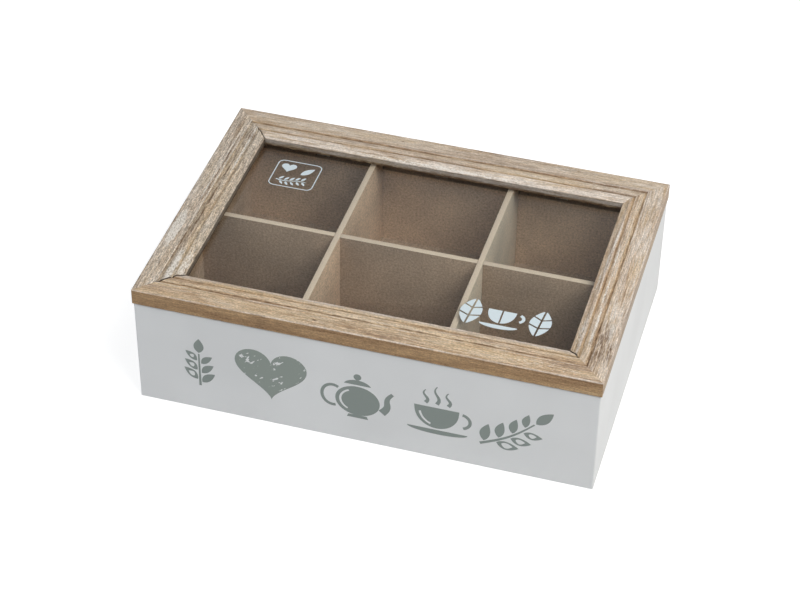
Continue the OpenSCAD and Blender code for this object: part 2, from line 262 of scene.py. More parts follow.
class FittingSettings(PropertyGroup):
    """Metal and glass"""

    leaf: colour_setting("Hinge leaves", "Pressed brass of the hinge leaves", "#C9A65C")
    pin: colour_setting("Hinge pins", "Drawn brass of the hinge pins", "#BFA05E")
    screw: colour_setting("Screws", "Turned brass of the hinge screws", "#D2B068")
    steel: colour_setting("Steel", "Drawn steel of the brads, nails and glazing points", "#A9A9A6")
    glass: colour_setting("Glass", "Tint of the float glass", "#FDFEFE")
    shade: colour_setting("Glass's shade", "Tint of the lamps' light behind the glass", "#F6F8F7")
    leaf_ease: size_setting("Leaf edges", "Rounding of the hinge leaves' edges", 0.06)
    glass_ease: size_setting("Glass arris", "Width of the glass's ground edges", 0.3)


class PrintSettings(PropertyGroup):
    """Inks of the printed motifs"""

    grey: colour_setting("Grey ink", "Screen ink of the motifs on the front", "#8B948F")
    heart: colour_setting("Heart's ink", "Screen ink of the heart, lighter and greener", "#929B94")
    pale: colour_setting("Pale ink", "Screen ink of the motifs on the glass", "#D6E3E9")
    thickness: size_setting("Ink thickness", "Height of the printed film", 0.04)


class StudioSettings(PropertyGroup):
    """Camera, sky and lamps"""

    azimuth: FloatProperty(
        name="Azimuth",
        description="Camera's turn to the right of straight ahead",
        subtype="ANGLE",
        default=0.275061,
    )
    elevation: FloatProperty(
        name="Elevation",
        description="Camera's angle above the table",
        subtype="ANGLE",
        default=0.694486,
    )
    roll: FloatProperty(
        name="Roll",
        description="Camera's tilt about its line of sight",
        subtype="ANGLE",
        default=0.0138608,
    )
    distance: FloatProperty(
        name="Distance",
        description="From the camera to the point that it looks at",
        subtype="DISTANCE",
        unit="LENGTH",
        default=1.175906,
    )
    aim: FloatVectorProperty(
        name="Aim",
        description="Point that the camera looks at",
        subtype="TRANSLATION",
        unit="LENGTH",
        default=(-0.002971, -0.004391, 0.030895),
    )
    lens: FloatProperty(
        name="Lens",
        description="Focal length on a sensor 36 mm wide",
        subtype="DISTANCE_CAMERA",
        default=101.16,
    )
    sky: FloatProperty(
        name="Sky",
        description="Strength of the light from all round",
        default=0.32,
    )
    key: FloatProperty(
        name="Key lamp",
        description="Power of the large lamp at the right",
        subtype="POWER",
        default=15.9,
    )
    sky_colour: colour_setting("Sky's colour", "Light from all round", "#F6F9FC")
    key_colour: colour_setting("Key lamp's colour", "Light of the lamp at the right", "#FFFDF9")
    fill_colour: colour_setting("Fill lamp's colour", "Light of the lamp at the left", "#DFECFF")
    floor: colour_setting("Floor", "Pale floor under the box", "#B4B4B4")


# ---- Materials ----

# The numbers of Math, Vector Math and Mix nodes are their sockets. Those of a Map Range node
# are its value, the two ends that it comes from and the two that it goes to, 0 and 1 unless
# given. Coordinates are in millimetres.

# The moulding's pores show where their noise is in this range, from darkest to palest
PORES_LOW, PORES_HIGH = 0.36, 0.64
# The look of the moulding's outer edge gives way to that of its band between these places
EDGE_OUT, EDGE_IN = 0.4, 0.8
# The bare side of a wall, and a divider, change from their lower to their upper tone between
# these heights. The tones are partly painted shade and light: on the back wall the upper tone
# is a painted shade band under the lid's back rail.
WALL_TONE_LOW, WALL_TONE_HIGH = 49.6, 50.6
BOARD_TONE_LOW, BOARD_TONE_HIGH = 25.0, 52.0


def in_millimetres(tree, turn=0.0, shift=(0.0, 0.0, 0.0)):
    """Object coordinates in millimetres, turned about Z and then shifted."""
    sockets = {
        "Vector": add(tree, "TexCoord").outputs["Object"],
        "Location": shift,
        "Rotation": (0, 0, turn),
        "Scale": (1 / MM,) * 3,
    }
    return add(tree, "Mapping", sockets)


def streaks(tree, place, length, width, detail=3.0, rough=0.55):
    """Noise drawn out along X: its streaks have this length and width."""
    drawn_out = (1 / length, 1 / width, 1 / width)
    place = add(tree, "VectorMath", {0: place, 1: drawn_out}, operation="MULTIPLY")
    sockets = {"Vector": place, "Scale": 1.0, "Detail": detail, "Roughness": rough}
    return add(tree, "TexNoise", sockets)


def patch(tree, place, middle, reach):
    """1 in the middle of an oval patch and 0 at its rim."""
    away = add(tree, "VectorMath", {0: place, 1: (*middle, 0.0)}, operation="SUBTRACT")
    to_rim = (1 / reach[0], 1 / reach[1], 0.0)
    away = add(tree, "VectorMath", {0: away, 1: to_rim}, operation="MULTIPLY")
    away = add(tree, "VectorMath", {0: away}, operation="LENGTH")
    return add(tree, "MapRange", {0: away, 1: 0.25, 2: 1.0, 3: 1.0, 4: 0.0})


def patches(tree, place, spots, amount):
    """The amount, a number or a node, with each spot's patch added by its strength."""
    for u, d, half_length, half_width, strength in spots:
        spot = patch(tree, place, (u, d), (half_length, half_width))
        sockets = {0: spot, 1: strength, 2: amount}
        amount = add(tree, "Math", sockets, operation="MULTIPLY_ADD")
    return amount


# Places along a rail, in millimetres: u runs along it from its middle, to the right as seen
# from outside, and d runs in from its outer edge. Each patch of thick wash, some of them lines
# of painted highlight along crowns and ridges, and each darker patch, some of them painted
# shade, is u, d, its half length, its half width and how strong it is.
#   side      quarter turns from the front rail
#   gaps      how far the mitre stands open at the left and the right end, and from which d
#   wash      how much lies on the band, the bead, the ridge and the cove
#   pale      how much paler the bare wood of the upper faces is
#   edge      how much wash lies on the outer edge
#   arris     how pale the outer arris is: worn wash and painted highlight
#   grey      how much of the wood has gone grey
#   speckle   how strong the grain looks
#   grooves   how far in of each groove's middle its darkening lies, and how dark it is; the
#             darkening is dirt and painted shade
#   sight     how much painted shade lies on the edge beside the glass
RAILS = {
    "lid_front_rail": {
        "side": 0,
        "gaps": ((0.3, 8.5), (0.3, 15.0)),
        "wash": (0.26, 0.32, 0.35, 0.8),
        "pale": 0.03,
        "edge": 0.0,
        "arris": 0.35,
        "grey": 0.1,
        "speckle": 0.19,
        "grooves": ((0.6, 0.6), (0.0, 0.4)),
        "sight": 0.8,
        "chalk_and_highlights": (
            (60, 12, 60, 1.2, 0.3),
            (-20, 19.0, 70, 0.9, 0.4),
            (88, 18.6, 14, 2.6, 0.9),
            (84, 5, 44, 4.5, 0.5),
        ),
        "dark_patches": (
            (-25.8, 4.5, 1.6, 0.9, 0.8),
            (-53, 0.0, 7.0, 2.0, 0.3),
            (30, 2.5, 0.9, 0.6, 0.6),
            (-5, 5.0, 60, 4.0, 0.2),
        ),
    },
    "lid_right_stile": {
        "side": 1,
        "gaps": ((0.3, 15.0), (0.02, 12.0)),
        "wash": (0.68, 0.5, 0.8, 0.36),
        "pale": 0.0,
        "edge": 0.45,
        "arris": 0.5,
        "grey": 0.15,
        "speckle": 0.17,
        "grooves": ((0.0, 0.5), (0.0, 0.12)),
        "sight": 0.8,
        "chalk_and_highlights": (
            (12, 14.0, 14, 0.7, 1.5),
            (-14, 13.4, 18, 0.8, 1.9),
            (-42, 12.7, 22, 0.9, 1.9),
            (28, 17.2, 14, 0.6, 2.0),
            (10, 18.0, 16, 0.6, 1.9),
            (-8, 19.0, 12, 0.6, 1.5),
            (-46, 18.2, 24, 2.4, 0.9),
            (-44, 4.2, 11, 1.3, 1.7),
            (-30, 6.5, 30, 2.4, 0.7),
        ),
        "dark_patches": (
            (-57, 2.2, 1.5, 0.7, 0.6),
            (-62, 2.0, 11, 2.2, 0.5),
            (-56, 7.2, 26, 6.0, 0.65),
            (-60, 15, 30, 6, 0.2),
            (60, 5.5, 24, 6.0, 0.12),
        ),
    },
    "lid_back_rail": {
        "side": 2,
        "gaps": ((0.02, 12.0), (0.18, 13.0)),
        "wash": (0.45, 0.5, 0.8, 0.95),
        "pale": 0.0,
        "edge": 0.3,
        "arris": 0.0,
        "grey": 0.3,
        "speckle": 0.14,
        "grooves": ((0.0, 0.55), (0.0, 0.12)),
        "sight": 0.4,
        "chalk_and_highlights": (
            (0, 19.8, 80, 1.6, 1.3),
            (-70, 3.0, 24, 1.6, 0.8),
            (-90, 12.0, 30, 5.0, 0.6),
            (-40, 14.0, 40, 0.9, 0.6),
        ),
        "dark_patches": ((-70, 3.0, 24, 2.4, 0.3), (26, 4.5, 1.6, 0.7, 0.6), (104, 17.5, 5, 3.0, 0.9)),
    },
    "lid_left_stile": {
        "side": 3,
        "gaps": ((0.18, 13.0), (0.3, 8.5)),
        "wash": (0.52, 0.32, 0.3, 0.26),
        "pale": 0.0,
        "edge": 0.3,
        "arris": 0.0,
        "grey": 0.68,
        "speckle": 0.3,
        "grooves": ((-0.2, 0.3), (0.0, 0.0)),
        "sight": 0.7,
        "chalk_and_highlights": (
            (28, 3.8, 20, 3.2, 3.2),
            (-50, 14.3, 36, 0.6, 2.8),
            (60, 13.6, 24, 2.6, 1.8),
            (56, 18.6, 24, 2.8, 1.3),
            (0, 17.2, 80, 0.6, 0.4),
            (-14, 7.0, 24, 0.5, 1.8),
            (-54, 7.4, 24, 0.5, 1.3),
            (-30, 9.2, 50, 0.4, 1.0),
        ),
        "dark_patches": (
            (21, 11.5, 1.8, 0.9, 0.7),
            (-60, 14.0, 6, 3.0, 0.6),
            (-30, 8.1, 56, 0.6, 0.8),
            (-54, 6.2, 30, 0.9, 0.5),
            (0, 12.2, 68, 0.8, 0.8),
            (36, 9.8, 22, 1.6, 0.35),
            (-30, 3.0, 50, 3.0, 0.15),
        ),
    },
}


def wood_patterns(tree, rail):
    """Places on a rail and the patterns of its wood, which its finish is made of.

    Growth rings are about 5 mm apart, fibres, pores and grit under 1 mm wide, and clouds of
    wash and grey about 34 mm long. Faces is 1 on the faces that the wash was rubbed into.
    """
    side = rail["side"]
    outer_edge = (0.0, LID_REACH[1 - side % 2], -LID_LOW.z / MM)
    place = in_millimetres(tree, -side * math.pi / 2, outer_edge)
    # Each rail was cut from another stretch of the wood
    stretch = (137.0 * side, 29.0 * side, 0.0)
    cut = add(tree, "VectorMath", {0: place, 1: stretch}, operation="ADD")
    across, inward, up = add(tree, "SeparateXYZ", {0: place}).outputs
    clouds = streaks(tree, cut, 34.0, 5.0)

    arris = add(tree, "MapRange", {0: up, 1: RAIL_H - 0.6, 2: RAIL_H - 0.25})
    off_edge = add(tree, "MapRange", {0: inward, 1: 0.1, 2: 0.5})
    faces = add(tree, "Math", {0: off_edge, 1: arris}, operation="MAXIMUM")
    off_underside = add(tree, "MapRange", {0: up, 1: 3.0, 2: 5.0})
    faces = add(tree, "Math", {0: faces, 1: off_underside}, operation="MULTIPLY")
    edge = {0: inward, 1: EDGE_OUT, 2: EDGE_IN, 3: rail["edge"], 4: 0.0}
    edge = add(tree, "MapRange", edge)
    return SimpleNamespace(
        place=place,
        across=across,
        inward=inward,
        up=up,
        rings=streaks(tree, cut, 70.0, 5.0, detail=2.0),
        fibres=streaks(tree, cut, 16.0, 0.8, detail=5.0, rough=0.72),
        pores=streaks(tree, cut, 4.5, 0.75, detail=2.5, rough=0.6),
        grit=streaks(tree, cut, 1.1, 0.6, detail=1.0),
        flecks=streaks(tree, cut, 3.0, 0.8, detail=4.0, rough=0.8),
        clouds=add(tree, "MapRange", {0: clouds, 1: 0.3, 2: 0.7, 3: 0.5, 4: 1.3}),
        arris=arris,
        faces=add(tree, "Math", {0: faces, 1: edge}, operation="MAXIMUM"),
    )


def bare_wood(tree, rail, wood, look):
    """Planed softwood: light and dark rings and fibres, gone grey in clouds."""
    fibres = add(tree, "Math", {0: wood.fibres, 1: 0.45}, operation="MULTIPLY")
    grain = add(tree, "Math", {0: wood.rings, 1: 0.55, 2: fibres}, operation="MULTIPLY_ADD")
    # The outer edge was cut across the rings, so it's darker and more even
    grain = add(tree, "Math", {0: grain, 1: 0.5}, operation="SUBTRACT")
    contrast = {0: wood.inward, 1: EDGE_OUT, 2: EDGE_IN, 3: 0.4, 4: 1.0}
    contrast = add(tree, "MapRange", contrast)
    level = {0: wood.inward, 1: EDGE_OUT, 2: EDGE_IN, 3: 0.457, 4: 0.5}
    level = add(tree, "MapRange", level)
    grain = add(tree, "Math", {0: grain, 1: contrast, 2: level}, operation="MULTIPLY_ADD")
    paler = {0: wood.faces, 1: rail["pale"], 2: grain}
    grain = add(tree, "Math", paler, operation="MULTIPLY_ADD")
    stops = ((0.41, look.dark), (0.48, look.middle), (0.56, look.light))
    colour = add(tree, "ValToRGB", {"Fac": grain}, stops)
    age = add(tree, "Math", {0: wood.clouds, 1: wood.faces}, operation="MULTIPLY")
    age = add(tree, "Math", {0: age, 1: rail["grey"]}, operation="MULTIPLY")
    return add(tree, "Mix", {0: age, 6: colour, 7: look.grey}, data_type="RGBA")


def thin_wash(tree, rail, wood, look, colour):
    """The grainy veil of wash. Stops are how much lies at each place in from the outer edge."""
    band, bead, ridge, cove = rail["wash"]
    rim = 0.35 + rail["arris"]
    # The outer rim and the band's inner arris at 9.5 mm are pale: worn wash and painted highlight
    stops = [(0.0, rim), (0.6, rim), (0.9, band), (9.0, band), (9.5, 0.8), (10.0, 0.1)]
    stops += [(11.0, 0.1), (12.0, bead), (14.6, bead), (15.4, 0.1), (16.1, 0.1), (16.7, ridge)]
    stops += [(17.6, ridge), (18.2, cove), (20.2, cove)]
    stops = [(d / RAIL_W, share) for d, share in stops]
    inward = add(tree, "Math", {0: wood.inward, 1: RAIL_W}, operation="DIVIDE")
    held = add(tree, "ValToRGB", {"Fac": inward}, stops)
    veil = add(tree, "Math", {0: held, 1: wood.clouds}, operation="MULTIPLY")
    veil = add(tree, "Math", {0: veil, 1: wood.faces}, operation="MULTIPLY")
    grainy = add(tree, "MapRange", {0: wood.fibres, 1: 0.4, 2: 0.6, 3: 0.3, 4: 1.6})
    veil = add(tree, "Math", {0: veil, 1: grainy}, operation="MULTIPLY", use_clamp=True)
    # The outer arris is paler still: worn wash and painted highlight
    rubbed = add(tree, "MapRange", {0: wood.inward, 1: 0.9, 2: 0.5, 3: 0.0, 4: rail["arris"]})
    rubbed = add(tree, "Math", {0: wood.arris, 1: rubbed}, operation="MULTIPLY")
    veil = add(tree, "Math", {0: veil, 1: rubbed}, operation="MAXIMUM")
    return add(tree, "Mix", {0: veil, 6: colour, 7: look.wash}, data_type="RGBA")


def speckled(tree, rail, wood, colour):
    """Pores and grit make the colour lighter and darker."""
    dark, light = 1 - rail["speckle"], 1 + rail["speckle"]
    for pattern, low, high in ((wood.pores, PORES_LOW, PORES_HIGH), (wood.grit, 0.35, 0.65)):
        shade = add(tree, "MapRange", {0: pattern, 1: low, 2: high, 3: dark, 4: light})
        colour = add(tree, "VectorMath", {0: colour, "Scale": shade}, operation="SCALE")
    return colour


def thick_wash_and_highlights(tree, rail, wood):
    """How much thick wash and painted highlight there is: patches, broken into flecks by a noise.
    """
    thick = patches(tree, wood.place, rail["chalk_and_highlights"], 0.0)
    flecks = {0: thick, 1: 0.2, 2: wood.flecks}
    flecks = add(tree, "Math", flecks, operation="MULTIPLY_ADD")
    flecks = add(tree, "MapRange", {0: flecks, 1: 0.63, 2: 0.73})
    chalk_and_highlights = {0: flecks, 1: wood.faces}
    chalk_and_highlights = add(tree, "Math", chalk_and_highlights, operation="MULTIPLY", use_clamp=True)
    grainy = add(tree, "MapRange", {0: wood.grit, 1: 0.4, 2: 0.56, 3: 0.3, 4: 1.0})
    return add(tree, "Math", {0: chalk_and_highlights, 1: grainy}, operation="MULTIPLY")


def dirt_and_shade(tree, rail, wood):
    """How dark the rebate, the two grooves and the darker patches are: dirt and painted shade."""
    # Painted shade and dirt low on the rebate's faces, where the glass sits
    in_rebate = add(tree, "MapRange", {0: wood.inward, 1: 15.6, 2: 16.0})
    below = add(tree, "MapRange", {0: wood.up, 1: 4.6, 2: 3.2})
    dark = add(tree, "Math", {0: in_rebate, 1: below}, operation="MULTIPLY")
    # Dirt and painted shade in the two grooves
    middles = (BAND_W + LINE_W / 2, BAND_W + LINE_W + BEAD_W + QUIRK_W / 2)
    for middle, (shift, strength) in zip(middles, rail["grooves"]):
        away = add(tree, "Math", {0: wood.inward, 1: middle + shift}, operation="SUBTRACT")
        away = add(tree, "Math", {0: away}, operation="ABSOLUTE")
        near = add(tree, "MapRange", {0: away, 1: 0.6, 2: 0.2})
        dark = add(tree, "Math", {0: near, 1: strength, 2: dark}, operation="MULTIPLY_ADD")
    dark = patches(tree, wood.place, rail["dark_patches"], dark)
    in_pores = {0: wood.pores, 1: PORES_LOW, 2: PORES_HIGH, 3: 1.5, 4: 0.3}
    in_pores = add(tree, "MapRange", in_pores)
    return add(tree, "Math", {0: dark, 1: in_pores}, operation="MULTIPLY", use_clamp=True)


def sight_shade_and_mitre_grime(tree, rail, wood):
    """How much painted shade lies on the edge beside the glass, and grime in the open mitres."""
    # Painted shade on the edge beside the glass
    sight = {0: wood.inward, 1: RAIL_W - 0.4, 2: RAIL_W - 0.1, 3: 0.0, 4: rail["sight"]}
    sight = add(tree, "MapRange", sight)
    below = add(tree, "MapRange", {0: wood.up, 1: 7.0, 2: 6.6})
    shade_and_grime = add(tree, "Math", {0: sight, 1: below}, operation="MULTIPLY")
    half = LID_REACH[rail["side"] % 2]
    for end, (gap, start) in zip((1.0, -1.0), rail["gaps"]):
        to_mitre = add(tree, "Math", {0: half, 1: wood.inward}, operation="SUBTRACT")
        to_mitre = {0: wood.across, 1: end, 2: to_mitre}
        to_mitre = add(tree, "Math", to_mitre, operation="MULTIPLY_ADD")
        near = add(tree, "MapRange", {0: to_mitre, 1: gap + 0.5, 2: gap + 0.2})
        opening = {0: wood.inward, 1: start, 2: start + 2, 3: 0.0, 4: 3 * gap}
        opening = add(tree, "MapRange", opening)
        near = add(tree, "Math", {0: near, 1: opening}, operation="MULTIPLY")
        shade_and_grime = add(tree, "Math", {0: shade_and_grime, 1: near}, operation="MAXIMUM")
    return add(tree, "Math", {0: shade_and_grime, 1: 1.0}, operation="MINIMUM")


def washed_wood(name, rail):
    """Limewashed fir: planed softwood, rubbed with white wash that stays in pores and hollows.

    The eye sees fine streaks along the length, a grainy veil of wash that is thin on the sawn
    outer edge, and thick wash in broken flecks and along the arrises, where its pale lines are
    partly painted highlight. Dirt and painted shade lie in the two grooves and at the seat of
    the glass, and painted shade on the edge beside the glass.
    """
    look = bpy.context.scene.tea_wood
    material, tree = add_material("limewashed_fir_" + name)
    wood = wood_patterns(tree, rail)
    colour = bare_wood(tree, rail, wood, look)
    colour = thin_wash(tree, rail, wood, look, colour)
    colour = speckled(tree, rail, wood, colour)
    chalk_and_highlights = thick_wash_and_highlights(tree, rail, wood)
    covered = add(tree, "Math", {0: chalk_and_highlights, 1: 0.85}, operation="MULTIPLY")
    # Thick wash with painted highlight, dirt with painted shade, then painted shade at the glass
    layers = (
        (covered, look.chalk_and_highlights),
        (dirt_and_shade(tree, rail, wood), look.dirt_and_shade),
        (sight_shade_and_mitre_grime(tree, rail, wood), look.shade_and_grime),
    )
    for share, over in layers:
        colour = add(tree, "Mix", {0: share, 6: colour, 7: over}, data_type="RGBA")

    raised = add(tree, "Math", {0: chalk_and_highlights, 1: 0.35}, operation="MULTIPLY")
    relief = add(tree, "Math", {0: wood.fibres, 1: raised}, operation="ADD")
    bump = add(tree, "Bump", {"Height": relief, "Strength": 0.4, "Distance": 0.0002})
    surface = {"Base Color": colour, "Roughness": 0.62, "IOR": 1.45, "Normal": bump}
    add(tree, "OutputMaterial", {"Surface": add(tree, "BsdfPrincipled", surface)})
    return material


def fibreboard_face(tree, place):
    """Face of brown fibreboard: pressed fibres make specks of 1.2 mm over clouds of 22 mm."""
    speck = {"Vector": place, "Scale": 0.85, "Detail": 3.0, "Roughness": 0.7}
    specks = add(tree, "TexNoise", speck)
    clouds = add(tree, "TexNoise", {"Vector": place, "Scale": 0.045, "Detail": 3.0})
    colour = bpy.context.scene.tea_board.face[:3]
    for pattern, dark, light in ((specks, 0.62, 1.38), (clouds, 0.85, 1.15)):
        shade = add(tree, "MapRange", {0: pattern, 1: 0.3, 2: 0.7, 3: dark, 4: light})
        colour = add(tree, "VectorMath", {0: colour, "Scale": shade}, operation="SCALE")
    return colour, specks


def bare_fibreboard(name, tone, top_tone, painted_haze):
    """Brown fibreboard 3 mm thick: matt pressed faces and sawn edges.

    The faces have one tone below and one near the top, partly painted light and shade, and a
    share of pale haze that is a painted reflection of the glass.
    """
    look = bpy.context.scene.tea_board
    material, tree = add_material("brown_fibreboard_" + name)
    place = in_millimetres(tree)
    colour, specks = fibreboard_face(tree, place)
    up = add(tree, "SeparateXYZ", {0: place}).outputs["Z"]
    # Tones that are partly painted light and shade
    shade = {0: up, 1: BOARD_TONE_LOW, 2: BOARD_TONE_HIGH, 3: tone, 4: top_tone}
    shade = add(tree, "MapRange", shade)
    colour = add(tree, "VectorMath", {0: colour, "Scale": shade}, operation="SCALE")
    # Painted reflection: a pale haze over the board, as the glass shows it
    colour = add(tree, "Mix", {0: painted_haze, 6: colour, 7: look.painted_haze}, data_type="RGBA")
    top = DIVIDER_HIGH.z / MM
    at_top = add(tree, "MapRange", {0: up, 1: top - 0.25, 2: top - 0.05})
    sawn = add(tree, "MapRange", {0: specks, 1: 0.3, 2: 0.7, 3: 0.0, 4: 0.3})
    sawn = add(tree, "Mix", {0: sawn, 6: look.edge, 7: look.face}, data_type="RGBA")
    colour = add(tree, "Mix", {0: at_top, 6: colour, 7: sawn}, data_type="RGBA")
    bump = add(tree, "Bump", {"Height": specks, "Strength": 0.2, "Distance": 0.0001})
    surface = {"Base Color": colour, "Roughness": 0.78, "Normal": bump}
    add(tree, "OutputMaterial", {"Surface": add(tree, "BsdfPrincipled", surface)})
    return material


def painted_share(tree, place):
    """1 where a wall is painted: on its outside, its ends and its rim, 0 on its bare side.

    The paint ends in a ragged line just over the inner edge of the rim, in bites of about 2 mm.
    """
    inner_x = RIGHT_LOW.x / MM
    middle_y = (FRONT_HIGH.y + BACK_LOW.y) / 2 / MM
    inner_y = (BACK_LOW.y - FRONT_HIGH.y) / 2 / MM
    x, y, up = add(tree, "SeparateXYZ", {0: place}).outputs
    from_side = add(tree, "Math", {0: x}, operation="ABSOLUTE")
    from_side = add(tree, "Math", {0: from_side, 1: inner_x}, operation="SUBTRACT")
    from_end = add(tree, "Math", {0: y, 1: middle_y}, operation="SUBTRACT")
    from_end = add(tree, "Math", {0: from_end}, operation="ABSOLUTE")
    from_end = add(tree, "Math", {0: from_end, 1: inner_y}, operation="SUBTRACT")
    depth = add(tree, "Math", {0: from_side, 1: from_end}, operation="MAXIMUM")
    painted = add(tree, "Math", {0: depth, 1: 0.35}, operation="GREATER_THAN")

    ragged = add(tree, "TexNoise", {"Vector": place, "Scale": 0.5, "Detail": 3.0})
    creep = add(tree, "Math", {0: ragged, 1: 1.6, 2: -0.3}, operation="MULTIPLY_ADD")
    below_rim = add(tree, "Math", {0: FRONT_HIGH.z / MM, 1: up}, operation="SUBTRACT")
    rim = add(tree, "Math", {0: below_rim, 1: creep}, operation="LESS_THAN")
    painted = add(tree, "Math", {0: painted, 1: rim}, operation="MAXIMUM")
    off_table = add(tree, "Math", {0: up, 1: 0.02}, operation="GREATER_THAN")
    return add(tree, "Math", {0: painted, 1: off_table}, operation="MULTIPLY")


def painted_fibreboard(name, tone, top_tone):
    """Fibreboard wall: white satin paint on the outside and the rim, bare brown inside.

    The paint is rolled on, so it has a faint orange peel of about 1 mm, and thin places of
    about 50 mm. The bare side has one tone below and one near its top, partly painted shade:
    the left wall is darker, and the back wall has a dark band near its top.
    """
    look = bpy.context.scene.tea_board
    material, tree = add_material("satin_painted_fibreboard_" + name)
    place = in_millimetres(tree)
    painted = painted_share(tree, place)
    board, specks = fibreboard_face(tree, place)
    up = add(tree, "SeparateXYZ", {0: place}).outputs["Z"]
    # Tones that are partly painted shade, such as the dark band near the back wall's top
    shade = {0: up, 1: WALL_TONE_LOW, 2: WALL_TONE_HIGH, 3: tone, 4: top_tone}
    shade = add(tree, "MapRange", shade)
    board = add(tree, "VectorMath", {0: board, "Scale": shade}, operation="SCALE")
    uneven = add(tree, "TexNoise", {"Vector": place, "Scale": 0.02, "Detail": 2.0})
    uneven = add(tree, "MapRange", {0: uneven, 1: 0.35, 2: 0.65})
    thin = tuple(c * 0.94 for c in look.paint[:3]) + (1.0,)
    paint = add(tree, "Mix", {0: uneven, 6: look.paint, 7: thin}, data_type="RGBA")
    colour = add(tree, "Mix", {0: painted, 6: board, 7: paint}, data_type="RGBA")
    peel = add(tree, "TexNoise", {"Vector": place, "Scale": 0.9, "Detail": 2.0})
    relief = add(tree, "Mix", {0: painted, 6: specks, 7: peel}, data_type="RGBA")
    bump = add(tree, "Bump", {"Height": relief, "Strength": 0.08, "Distance": 0.0001})
    rough = add(tree, "MapRange", {0: painted, 1: 0.0, 2: 1.0, 3: 0.78, 4: 0.42})
    surface = {"Base Color": colour, "Roughness": rough, "Normal": bump}
    add(tree, "OutputMaterial", {"Surface": add(tree, "BsdfPrincipled", surface)})
    return material


def float_glass():
    """Float glass 2 mm thick: clear, mirror smooth, with lamps shining through to the inside."""
    look = bpy.context.scene.tea_fittings
    material, tree = add_material("float_glass")
    surface = {"Base Color": look.glass, "Roughness": 0.0, "IOR": 1.52, "Transmission Weight": 1.0}
    shader = add(tree, "BsdfPrincipled", surface)
    clear = add(tree, "BsdfTransparent", {"Color": look.shade})
    rays = add(tree, "LightPath").outputs
    for ray in ("Is Shadow Ray", "Is Diffuse Ray"):
        shader = add(tree, "MixShader", {0: rays[ray], 1: shader, 2: clear})
    add(tree, "OutputMaterial", {"Surface": shader})
    return material


def tumbled_metal(name, bright, roughness):
    """Brass or steel, pressed, turned or drawn and then tumbled.

    The eye sees a bright metal with tarnish in clouds of 3 mm and fine scratches. They are drawn
    0.15 mm wide, coarser than real ones, so that they show.
    """
    material, tree = add_material(name)
    place = in_millimetres(tree)
    tarnish = add(tree, "TexNoise", {"Vector": place, "Scale": 0.35, "Detail": 4.0})
    dull = tuple(c * 0.6 for c in bright[:3]) + (1.0,)
    cloudy = add(tree, "MapRange", {0: tarnish, 1: 0.42, 2: 0.7})
    colour = add(tree, "Mix", {0: cloudy, 6: bright, 7: dull}, data_type="RGBA")
    rough = {0: tarnish, 1: 0.4, 2: 0.7, 3: roughness, 4: roughness + 0.2}
    rough = add(tree, "MapRange", rough)
    scratches = streaks(tree, place, 4.0, 0.15, detail=2.0)
    bump = add(tree, "Bump", {"Height": scratches, "Strength": 0.1, "Distance": 0.00005})
    surface = {"Base Color": colour, "Metallic": 1.0, "Roughness": rough, "Normal": bump}
    add(tree, "OutputMaterial", {"Surface": add(tree, "BsdfPrincipled", surface)})
    return material


def screen_ink(name, ink, under=None, worn_spots=()):
    """Screen ink: a flat matt film, with slanting flecks where it didn't take at worn spots.

    Each worn spot is x, y and z of its middle and its reach.
    """
    material, tree = add_material(name)
    colour = ink
    if worn_spots:
        place = in_millimetres(tree)
        slant = add(tree, "Mapping", {"Vector": place, "Rotation": (0, math.radians(38), 0)})
        chips = streaks(tree, slant, 3.4, 1.4, detail=2.0, rough=0.5)
        for x, y, z, reach in worn_spots:
            away = add(tree, "VectorMath", {0: place, 1: (x, y, z)}, operation="DISTANCE")
            near = add(tree, "MapRange", {0: away, 1: 0.3 * reach, 2: reach, 3: 0.1, 4: 0.0})
            chips = add(tree, "Math", {0: chips, 1: near}, operation="ADD")
        chips = add(tree, "MapRange", {0: chips, 1: 0.685, 2: 0.705})
        colour = add(tree, "Mix", {0: chips, 6: ink, 7: under}, data_type="RGBA")
    surface = {"Base Color": colour, "Roughness": 0.6}
    add(tree, "OutputMaterial", {"Surface": add(tree, "BsdfPrincipled", surface)})
    return material


# ---- Moulding ----

# Gaps between the points of a rail's mesh, in millimetres: round its outline and along it, and
# the places of its rows close to a mitre
OUTLINE_GAP = 0.7
ROW_GAP = 1.2
MITRE_ROWS = (0.0, 0.12, 0.25, 0.4, 0.6, 0.85, 1.2, 1.8)
# Straight steps in each rounded corner of the outline
CORNER_STEPS = 4

# Wear in millimetres: the height and length of the plane's long waves, of fine fibre relief and
# of dents, and the least opening of a mitre, how soon it opens and how far along it is felt
WAVE_H, WAVE_L = 0.035, 16.0
FIBRE_H, FIBRE_L = 0.02, 7.0
DENT_H, DENT_L = 0.6, 4.0
MITRE_LEAST, MITRE_RUN, MITRE_REACH = 0.03, 3.0, 6.0
# Noise from which a dent starts, and how deep dents are on flat faces against those on arrises
DENT_FROM = 0.32
FACE_DENTS = 0.15


def shallow_arc(start, end, sag, steps):
    """Points after start and before end on an arc that bulges to the left by sag."""
    chord = Vector(end) - Vector(start)
    left = Vector((-chord.y, chord.x)).normalized()
    radius = ((chord.length / 2) ** 2 + sag**2) / (2 * abs(sag))
    centre = (Vector(start) + Vector(end)) / 2 + left * (abs(sag) - radius) * math.copysign(1, sag)
    reach = math.asin(chord.length / 2 / radius)
    points = []
    for i in range(1, steps):
        angle = reach * (2 * i / steps - 1)
        across = chord.normalized() * math.sin(angle) * radius
        points.append(centre + across + left * math.copysign(math.cos(angle) * radius, sag))
    return [(p.x, p.y, 0.0) for p in points]


